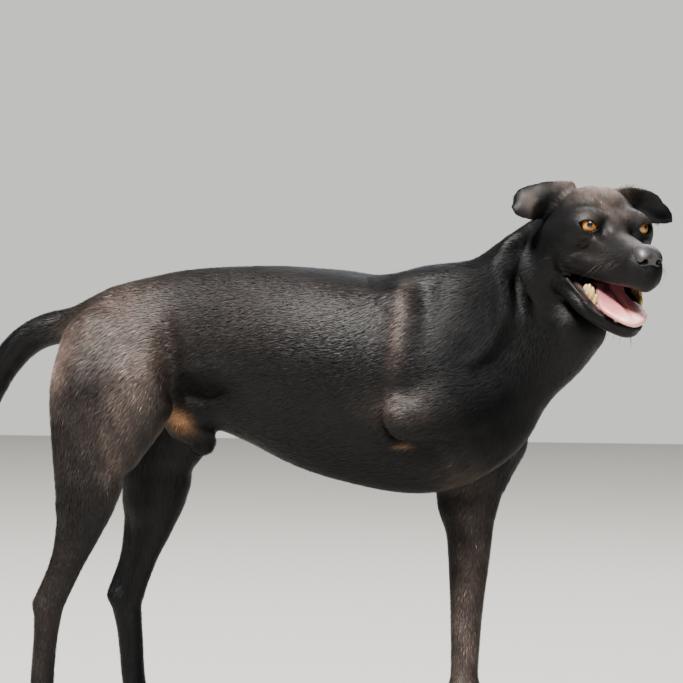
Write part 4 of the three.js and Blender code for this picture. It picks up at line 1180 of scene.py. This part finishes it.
def whiskerRoots():  # on lips, brows, chin and cheeks: place in the head's frame, way, length
    rows = []
    for s in (-1, 1):
        for row in range(4):
            for n in range(4):
                place = (60 - 9 * n - 3 * row, s * (11 + 3.4 * n + 1.2 * row), -23 - 4.6 * row)
                rows.append((place, (0.12 - 0.2 * n, s * 0.9, -0.2 - 0.18 * row), 12 + 3.2 * n))
        for n in range(2):
            rows.append(((-4 - 3 * n, s * (20 + 4 * n), 13), (0.3, s * 0.4, 0.9), 13 + 2 * n))
        for n in range(3):
            rows.append(((44 - 7 * n, s * (5 + 3 * n), -97), (0.25, s * 0.3, -1), 9 + 2 * n))
        for n in range(2):
            rows.append(((-36 - 4 * n, s * 47, -38), (-0.3, s * 0.8, -0.4), 14))
    return rows


def makeWhiskers():  # tapered hairs with three sides
    draw = np.random.default_rng(23)
    steps = whiskers["steps"]
    points, faces = [], []
    for place, way, length in whiskerRoots():
        root = settle(skinField, fromHead([place]), 9, 3)[0]
        way = headTurn @ (np.array(way) + whiskers["stray"] * draw.normal(size=3))
        way = way / np.linalg.norm(way)
        length *= draw.uniform(0.75, 1.25)
        side = np.cross(way, (0, 0, 1))
        side /= np.linalg.norm(side)
        other = np.cross(side, way)
        start = len(points)
        for i in range(steps + 1):
            t = i / steps
            at = root - way + way * length * t - np.array((0, 0, whiskers["sag"] * length * t * t))
            r = whiskers["radius"] * (1 - t) + whiskers["tip"]
            for a in (0, 2.094, 4.189):
                points.append(at + r * (math.cos(a) * side + math.sin(a) * other))
        for i in range(steps):
            a = start + 3 * i
            faces += [(a + j, a + (j + 1) % 3, a + 3 + (j + 1) % 3, a + 3 + j) for j in range(3)]
        faces += [(start + 2, start + 1, start), tuple(start + 3 * steps + j for j in range(3))]
    points = np.array(points)
    piece = meshFrom("whiskers", placeOf(points), faces)
    setUv(piece.data.uv_layers.new(name="OFBake"), unwrap(points)[cornersOf(piece)])
    colourPoints(piece, np.tile(whiskers["colour"], (len(points), 1)))
    piece.data.shade_smooth()
    return piece


coatPieces.append(makeWhiskers())

nose = {
    "pad": (67, 0, -16.5), "padSize": (14, 13, 9.5),
    "wing": (73.5, 6.3, -20), "wingSize": (9, 7, 8),
    "lip": (73, 0, -27.5), "lipSize": (7, 4.5, 6),
    "nostril": (80.5, 6.6, -21.5), "nostrilSize": (7, 2.7, 2.6),
    "slit": [(79.5, 8, -22.5, 1.8, 1.8), (75.5, 12, -24, 1.2, 1.2), (70, 14.5, -23.5, 0.8, 0.8)],
    "philtrum": [
        (84, 0, -15, 0.5, 0.5), (84.5, 0, -21, 0.8, 0.8), (81.5, 0, -29, 0.9, 0.9),
        (80, 0, -36, 0.8, 0.8),
    ],
    "cell": 0.8,
}


def pairOf(at, size):
    return bothSides(lambda s: lump((at[0], s * at[1], at[2]), size))


noseField = blend(
    4,
    lump(nose["pad"], nose["padSize"]),
    *pairOf(nose["wing"], nose["wingSize"]),
    lump(nose["lip"], nose["lipSize"]),
)
nostrils = blend(
    1.2,
    *pairOf(nose["nostril"], nose["nostrilSize"]),
    *tubePair(nose["slit"]),
)
noseField = carve(1.6, carve(1.4, noseField, nostrils), tube(nose["philtrum"]))

tongue = {
    "rows": [
        (-14, -2, -56, 5, 12), (8, -6, -55.5, 5, 13.5), (22, -9, -63, 5.5, 15),
        (32, -9, -69.5, 6, 17.5),
        (43.5, -6, -74, 5.5, 18.5), (53, -2.5, -78, 5, 15.5), (60, 0, -81, 4.5, 12),
        (63, 1, -82.5, 4, 8.5),
    ],
    "tilt": 0.27, "curl": 0.007, "edges": (-28, 24), "cell": 1.0,
}


def tongueShape(field):  # leans the field to one side and curls its edges up
    def read(p):
        q = p.copy()
        y = np.clip(p[:, 1], *tongue["edges"])
        q[:, 2] -= tongue["tilt"] * y + tongue["curl"] * y * y
        return field(q)

    return read


tongueGroove = [bump((20 + 8 * i, -7 + i, -57 - 3.8 * i), (8, 2.6, 5), -2.0) for i in range(6)]
tongueField = tongueShape(raised(tube(tongue["rows"], 5), tongueGroove))
gums = {
    "lower": [
        (-30, 28, -55, 5, 4.5), (-8, 27, -64, 6, 5), (14, 23, -73.5, 6, 4.6),
        (32, 15.5, -84, 5, 4.4),
        (44, 9, -88.5, 4.5, 4.4), (50, 0, -89.5, 4.5, 4),
    ],
    "upper": [
        (-30, 20, -46, 5, 5), (-4, 19, -44, 5, 5), (24, 15, -43, 5, 5), (46, 10, -42, 5, 4.5),
        (60, 5, -40, 5, 4.5), (63, 0, -39.5, 5, 4.5),
    ],
    "cell": 1.2,
}
gumField = blend(
    3,
    *tubePair(gums["lower"]),
    lump((8, 0, -80), (40, 22, 5), 0, 15),  # floor of the mouth
    lump((-20, 0, -60), (16, 30, 5), 0, 15),
    *tubePair(gums["upper"]),
    lump((16, 0, -42), (46, 17, 5)),  # palate
    lump((-34, 0, -52), (10, 22, 14)),
)


def headPiece(name, field, low, high, cell):
    points, faces = netOf(field, low, high, cell)
    points = settle(field, points, cell * 0.5)
    piece = meshFrom(name, placeOf(fromHead(points)), faces)
    piece.data.shade_smooth()
    print(name, len(piece.data.polygons))
    return piece, points


nosePiece, _ = headPiece("nose_pad", noseField, (52, -20, -42), (94, 20, -2), nose["cell"])
tonguePiece, tonguePoints = headPiece(
    "tongue_soft", tongueField, (-24, -34, -100), (76, 30, -36), tongue["cell"]
)
gumPiece, _ = headPiece("gums", gumField, (-50, -34, -96), (72, 34, -30), gums["cell"])

teeth = {  # along the jaw on the left: place, length, width, height of the crown
    "lower": [
        ((1, 25.2, -62), 9.5, 5.8, 6), ((8, 25.6, -63), 9, 6.4, 8), ((14, 25, -65.5), 9, 6, 8.6),
        ((20, 23.6, -69.5), 7.6, 5.2, 7),
        ((25.5, 21.2, -74.5), 6.4, 4.2, 4.4), ((31, 18.2, -80), 4.6, 3.6, 2.6),
        ((36.5, 15, -83.5), 3.8, 3.4, 2.2),
        ((52, 3.8, -87), 2.6, 3, 4.4), ((51, 6.8, -86.6), 2.6, 3, 4.4),
        ((52.5, 1.2, -87.2), 2.4, 2.6, 4),
    ],
    "upper": [
        ((4, 20, -44), 9, 7, -5), ((14, 19, -44), 11, 6, -7), ((24, 17, -43.5), 7, 4, -5),
        ((33, 15, -43), 5.5, 3.6, -4), ((42, 12.5, -42.5), 4.5, 3.2, -3),
        ((62, 2.2, -41), 3, 3.6, -4.5), ((61, 6, -41), 3.2, 3.8, -5),
    ],
}
canines = [((44.5, 11.5, -86), (48, 13.4, -74.5), 3.2), ((52, 9.5, -38), (51.5, 10, -49), 3.4)]


def addTooth(at, long, wide, tall):  # a molar: a cone with a rounded crown
    bpy.ops.mesh.primitive_uv_sphere_add(segments=12, ring_count=8, radius=1)
    tooth = bpy.context.object
    points = pointsOf(tooth)
    crown = np.clip(points[:, 2], 0, 1)
    points[:, :2] *= (1 - 0.3 * crown**3)[:, None]
    points[:, 2] *= np.where(points[:, 2] > 0, 1.0, 0.6)  # a short root
    setPoints(tooth, placeOf(fromHead(points * (long / 2, wide / 2, tall) + np.asarray(at, float))))
    return tooth


def addCanine(root, tip, radius):
    bpy.ops.mesh.primitive_cone_add(vertices=14, radius1=1, radius2=0.12, depth=1)
    tooth = bpy.context.object
    bpy.ops.object.mode_set(mode="EDIT")
    bpy.ops.mesh.select_all(action="SELECT")
    bpy.ops.mesh.subdivide(number_cuts=3)
    bpy.ops.object.mode_set(mode="OBJECT")
    points = pointsOf(tooth)
    t = (points[:, 2] + 0.5)[:, None]
    root, tip = np.asarray(root, float), np.asarray(tip, float)
    bend = np.array((-3.0, 0, 0)) * (t - t * t)  # hooked backwards
    flat = points[:, :2] * radius
    place = root + (tip - root) * t + bend
    place[:, 0] += flat[:, 0] * 1.15
    place[:, 1] += flat[:, 1]
    setPoints(tooth, placeOf(fromHead(place)))
    return tooth


def makeTeeth():
    made = []
    for s in (1, -1):
        mirror = np.array((1, s, 1))
        for at, long, wide, tall in teeth["lower"] + teeth["upper"]:
            made.append(addTooth(mirror * at, long, wide, tall))
        for root, tip, radius in canines:
            made.append(addCanine(mirror * root, mirror * tip, radius))
    activate(*made)
    bpy.ops.object.join()
    made[0].name = made[0].data.name = "teeth"
    made[0].data.shade_smooth()
    return made[0]


teethPiece = makeTeeth()

irisSpan = 20  # millimetres across the iris's UV map


def makeEye(s, name):  # a ball with a clear front that stands off, its UV map laid across the front
    at, look, across, up = eyeFrame(s)
    bpy.ops.mesh.primitive_uv_sphere_add(segments=48, ring_count=32, radius=1)
    ball = bpy.context.object
    ball.name = ball.data.name = name
    points = pointsOf(ball)
    ring = np.hypot(points[:, 0], points[:, 1])
    ahead = points[:, 2] > 0
    points *= eyes["radius"]
    cornea = eyes["cornea"] * np.exp(-((ring / eyes["corneaWidth"]) ** 2))
    points[:, 2] += np.where(ahead, cornea, 0)
    layer = ball.data.uv_layers[0]
    layer.name = "iris"
    flat = np.where(ahead[:, None], points[:, :2], 2 * irisSpan)  # the back lies off the map
    setUv(layer, flat[cornersOf(ball)] / irisSpan + 0.5)
    places = at + points[:, :1] * across + points[:, 1:2] * up + points[:, 2:] * look
    setPoints(ball, placeOf(fromHead(places)))
    ball.data.shade_smooth()
    return ball


eyePieces = [makeEye(-1, "eyeball_right"), makeEye(1, "eyeball_left")]

class Wire:  # an output socket with arithmetic; plain numbers and colours stay as settings
    tree = None

    def __init__(self, socket):
        self.socket = socket

    @classmethod
    def node(cls, kind, sets=None, out=0, **links):
        made = cls.tree.nodes.new(kind)
        for key, value in (sets or {}).items():
            setattr(made, key, value)
        for name, value in links.items():
            key = int(name[1:]) if name[1:].isdigit() else name.replace("_", " ")
            cls.plug(made.inputs[key], value)
        return Wire(made.outputs[out])

    @classmethod
    def plug(cls, target, value):
        if isinstance(value, Wire):
            cls.tree.links.new(value.socket, target)
        else:
            target.default_value = value

    def math(self, kind, other=None, swap=False):
        if other is None:
            return Wire.node("ShaderNodeMath", {"operation": kind}, i0=self)
        a, b = (other, self) if swap else (self, other)
        return Wire.node("ShaderNodeMath", {"operation": kind}, i0=a, i1=b)

    def __add__(self, other):
        return self.math("ADD", other)

    def __sub__(self, other):
        return self.math("SUBTRACT", other)

    def __rsub__(self, other):
        return self.math("SUBTRACT", other, True)

    def __mul__(self, other):
        return self.math("MULTIPLY", other)

    def __truediv__(self, other):
        return self.math("DIVIDE", other)

    def __pow__(self, other):
        return self.math("POWER", other)

    __radd__, __rmul__ = __add__, __mul__

    def step(self, low, high):  # 0 below low, 1 above high, smooth between
        smooth = {"interpolation_type": "SMOOTHSTEP"}
        return Wire.node("ShaderNodeMapRange", smooth, Value=self, From_Min=low, From_Max=high)

    def between(self, one, two):  # mixes two colours by this wire
        mix = {"data_type": "RGBA"}
        return Wire.node("ShaderNodeMix", mix, 2, i0=self, i6=one, i7=two)


def startMaterial(name, **sets):
    made = bpy.data.materials.new(name)
    made.use_nodes = True
    Wire.tree = made.node_tree
    shader = made.node_tree.nodes["Principled BSDF"]
    finish(shader, **sets)
    return made, shader


def finish(shader, **sets):
    for name, value in sets.items():
        Wire.plug(shader.inputs[name.replace("_", " ")], value)


def noise(scale, detail=3, vector=None, rough=0.5):
    links = {} if vector is None else {"Vector": vector}
    links.update(Scale=scale, Detail=detail, Roughness=rough)
    return Wire.node("ShaderNodeTexNoise", **links)


def objectPlace():
    return Wire.node("ShaderNodeTexCoord", None, "Object")


def attribute(name, output):
    return Wire.node("ShaderNodeAttribute", {"attribute_name": name}, output)


def bumpFrom(height, strength, distance):
    return Wire.node("ShaderNodeBump", None, 0, Height=height, Strength=strength, Distance=distance)


def coatMaterial():
    made, shader = startMaterial("coat_hair", Specular_IOR_Level=0.2)
    finish(shader, Base_Color=attribute("markingsAndPaintedLight", "Color"), Roughness=attribute("matte", "Fac"))
    return made


def skinMaterial():
    made, shader = startMaterial("short_fur", Specular_IOR_Level=0.2)
    place = objectPlace()
    grain = noise(900, 3, place)
    finish(
        shader,
        Base_Color=attribute("markingsAndPaintedLight", "Color"),
        Roughness=attribute("matte", "Fac") + 0.1 * grain,
        Normal=bumpFrom(grain, 0.35, 0.0006),
    )
    return made


def noseMaterial():
    black = (0.015, 0.0125, 0.013, 1)
    made, shader = startMaterial("damp_nose", Base_Color=black, Specular_IOR_Level=0.75)
    place = objectPlace()
    smooth = {"feature": "SMOOTH_F1"}
    pebbles = Wire.node("ShaderNodeTexVoronoi", smooth, "Distance", Vector=place, Scale=850)
    damp = 0.44 + 0.12 * noise(300, 2, place)
    finish(shader, Roughness=damp, Normal=bumpFrom(pebbles, 0.22, 0.0004))
    return made


def tongueMaterial():
    deep = (0.004, 0.0015, 0.001)
    made, shader = startMaterial("wet_tongue", Subsurface_Weight=0.15, Subsurface_Radius=deep)
    place = objectPlace()
    grain = noise(1400, 2, place)
    finish(
        shader,
        Base_Color=attribute("markingsAndPaintedLight", "Color"),
        Roughness=0.3 + 0.14 * noise(250, 2, place),
        Normal=bumpFrom(grain, 0.3, 0.0004),
    )
    return made


def toothMaterial():
    made, shader = startMaterial("tooth", Roughness=0.28)
    stain = noise(160, 3, objectPlace()).step(0.4, 0.7)
    finish(shader, Base_Color=stain.between((0.45, 0.34, 0.13, 1), (0.26, 0.16, 0.05, 1)))
    return made


iris = {
    "radius": 7.3, "pupil": 2.3, "rim": 0.8, "at": (0.7, 1.3),
    "amber": (0.66, 0.29, 0.04, 1), "shaded": (0.045, 0.018, 0.006, 1),
    "fibres": (0.3, 0.1, 0.015, 1), "inner": (0.05, 0.02, 0.006, 1),
    "black": (0.003, 0.003, 0.004, 1), "rimColour": (0.01, 0.006, 0.004, 1),
    "white": (0.12, 0.06, 0.04, 1),
}


def eyeMaterial():  # rings of colour about the pupil, in millimetres on the front of the ball
    made, shader = startMaterial("amber_eye", Roughness=0.25, Coat_Weight=0.55, Coat_Roughness=0.02)
    spot = Wire.node("ShaderNodeUVMap", {"uv_map": "iris"}, "UV")
    split = Wire.node("ShaderNodeSeparateXYZ", None, "X", Vector=spot)
    across = (split - 0.5) * irisSpan - iris["at"][0]
    up = (Wire(split.socket.node.outputs["Y"]) - 0.5) * irisSpan - iris["at"][1]
    away = (across * across + up * up) ** 0.5
    angle = across.math("ARCTAN2", up) * 6
    rays = Wire.node("ShaderNodeCombineXYZ", None, 0, X=angle, Y=away * 0.35)
    fibre = noise(2.6, 3, rays)
    lift = (up * 0.17 + 0.45).math("MINIMUM", 1).math("MAXIMUM", 0)  # the lid shades the upper part
    colour = lift.between(iris["amber"], iris["shaded"])
    colour = (fibre.step(0.35, 0.7) * 0.6).between(colour, iris["fibres"])
    pupil, edge = iris["pupil"], iris["radius"]
    colour = away.step(pupil, pupil + 1.4).between(iris["inner"], colour)
    colour = away.step(pupil - 0.25, pupil + 0.25).between(iris["black"], colour)
    colour = away.step(edge - iris["rim"], edge).between(colour, iris["rimColour"])
    colour = away.step(edge + 0.2, edge + 1.4).between(colour, iris["white"])
    finish(shader, Base_Color=colour)
    return made


def gumMaterial():
    made, shader = startMaterial("wet_gum", Roughness=0.3, Specular_IOR_Level=0.5)
    place = objectPlace()
    patch = noise(90, 3, place).step(0.42, 0.6)
    colour = patch.between((0.008, 0.005, 0.006, 1), (0.03, 0.01, 0.01, 1))
    finish(shader, Base_Color=colour, Normal=bumpFrom(noise(500, 2, place), 0.3, 0.0006))
    return made


def hornMaterial():
    made, shader = startMaterial("claw_horn", Roughness=0.35)
    streak = noise(400, 3, objectPlace()).step(0.3, 0.7)
    finish(shader, Base_Color=streak.between((0.008, 0.007, 0.006, 1), (0.035, 0.028, 0.023, 1)))
    return made


# tongue colours from painted shade at the root to painted light at the tip
tongueShadeToLight = {
    "root": (0.25, 0.07, 0.085), "middle": (0.52, 0.17, 0.17), "tip": (0.72, 0.36, 0.33),
}


def tongueLitAndShaded(p):  # in the head's frame: mauve and dark at the root as painted shade under the lip, pale at the tip as painted light, painted shade down the groove, and one dark spot of painted shadow
    root, middle, tip = (np.array(c) for c in tongueShadeToLight.values())
    x = p[:, :1]
    colour = root + (middle - root) * smoothStep(x, 18, 46)
    colour += (tip - colour) * smoothStep(x, 46, 62)
    # painted shade down the middle groove
    groove = np.exp(-(((p[:, 1:2] + 9 - 0.12 * (x - 20)) / 2.2) ** 2)) * (1 - smoothStep(x, 44, 56))
    colour *= 1 - 0.45 * groove
    # one dark spot of painted shadow
    spot = nearness(p, (19, -13, -59), (4.6, 4, 9))[:, None]
    colour += (np.array((0.03, 0.015, 0.03)) - colour) * np.clip(1.3 * spot, 0, 0.9)
    return colour


def dress(material, slot, *pieces):
    for piece in pieces:
        piece.data.materials.clear()
        piece.data.materials.append(material)


colourPoints(tonguePiece, tongueLitAndShaded(tonguePoints))
dress(coatMaterial(), "coat", *coatPieces)
dress(skinMaterial(), "coat", skin)
dress(noseMaterial(), "nose", nosePiece)
dress(tongueMaterial(), "tongue", tonguePiece)
dress(gumMaterial(), "tongue", gumPiece)
dress(toothMaterial(), None, teethPiece)
dress(eyeMaterial(), "eye", *eyePieces)

ownNodes = {
    "eyeball_right": "eye_right", "eyeball_left": "eye_left", "nose_pad": "nose",
    "tongue_soft": "tongue",
}
for pieceName, node in ownNodes.items():
    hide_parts(node)
claws = [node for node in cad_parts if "claw" in node]
ownOnes = [*claws, *ownNodes.values()]
fleshNodes = [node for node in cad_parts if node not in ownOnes]
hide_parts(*fleshNodes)
for piece in (skin, *coatPieces, nosePiece, tonguePiece, gumPiece, teethPiece, *eyePieces):
    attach(piece, "root")
horn = hornMaterial()
for node in claws:
    bpy.data.objects[node].material_slots[0].material = horn

floorLook = {"Base_Color": (0.42, 0.41, 0.385, 1), "Roughness": 0.85}


def addFloor():
    bpy.ops.mesh.primitive_plane_add(size=14, location=(0, 0, 0))
    floor = bpy.context.object
    floor.name = "floor"
    floor.data.materials.append(startMaterial("pale_floor", **floorLook)[0])


view = {  # place in millimetres, angles in degrees; the frame is 683 wide
    "at": (1066.7, -3347.1, 477), "azimuth": 17, "dip": 0.925,
    "sensor": 36, "lens": 3500 / 683 * 36,
}


def addCamera():
    data = bpy.data.cameras.new("camera")
    data.sensor_width = view["sensor"]
    data.lens = view["lens"]
    data.clip_end = 50
    camera = bpy.data.objects.new("camera", data)
    bpy.context.scene.collection.objects.link(camera)
    camera.location = placeOf(view["at"])
    camera.rotation_euler = (math.radians(90 - view["dip"]), 0, math.radians(view["azimuth"]))
    bpy.context.scene.camera = camera


lights = {  # place, size, watts, colour; all look at the same point
    "key": ((-2.16, -4.32, 8.08), (1.3, 1.3), 3900, (1, 0.96, 0.91)),
    "fill": ((2.2, -2.2, 2.9), (0.9, 0.7), 90, (0.88, 0.94, 1)),
    "rim": ((0.3, 2.4, 2.6), (2.2, 1.0), 70, (0.9, 0.95, 1)),
}
lightAim = Vector((0, 0, 0.4))


def addLight(name, at, size, power, colour):
    data = bpy.data.lights.new(name, "AREA")
    data.shape = "RECTANGLE"
    data.size, data.size_y = size
    data.energy = power
    data.color = colour
    lamp = bpy.data.objects.new(name, data)
    bpy.context.scene.collection.objects.link(lamp)
    lamp.location = at
    lamp.rotation_euler = (lightAim - Vector(at)).to_track_quat("-Z", "Y").to_euler()


room = {  # what lights the dog, and what is seen behind it
    "light": (0.6, 0.75, 1, 1), "lightStrength": 0.07,
    "seen": (0.84, 0.86, 0.8, 1), "seenMore": 0.95,
}


def addWorld():
    world = bpy.data.worlds.new("world")
    bpy.context.scene.world = world
    world.use_nodes = True
    Wire.tree = world.node_tree
    seen = Wire.node("ShaderNodeLightPath", None, "Is Camera Ray")
    back = world.node_tree.nodes["Background"]
    Wire.plug(back.inputs["Color"], seen.between(room["light"], room["seen"]))
    Wire.plug(back.inputs["Strength"], room["lightStrength"] + seen * room["seenMore"])


addFloor()
addCamera()
for lightName, settings in lights.items():
    addLight(lightName, *settings)
addWorld()
print("dressed, lit and in view")
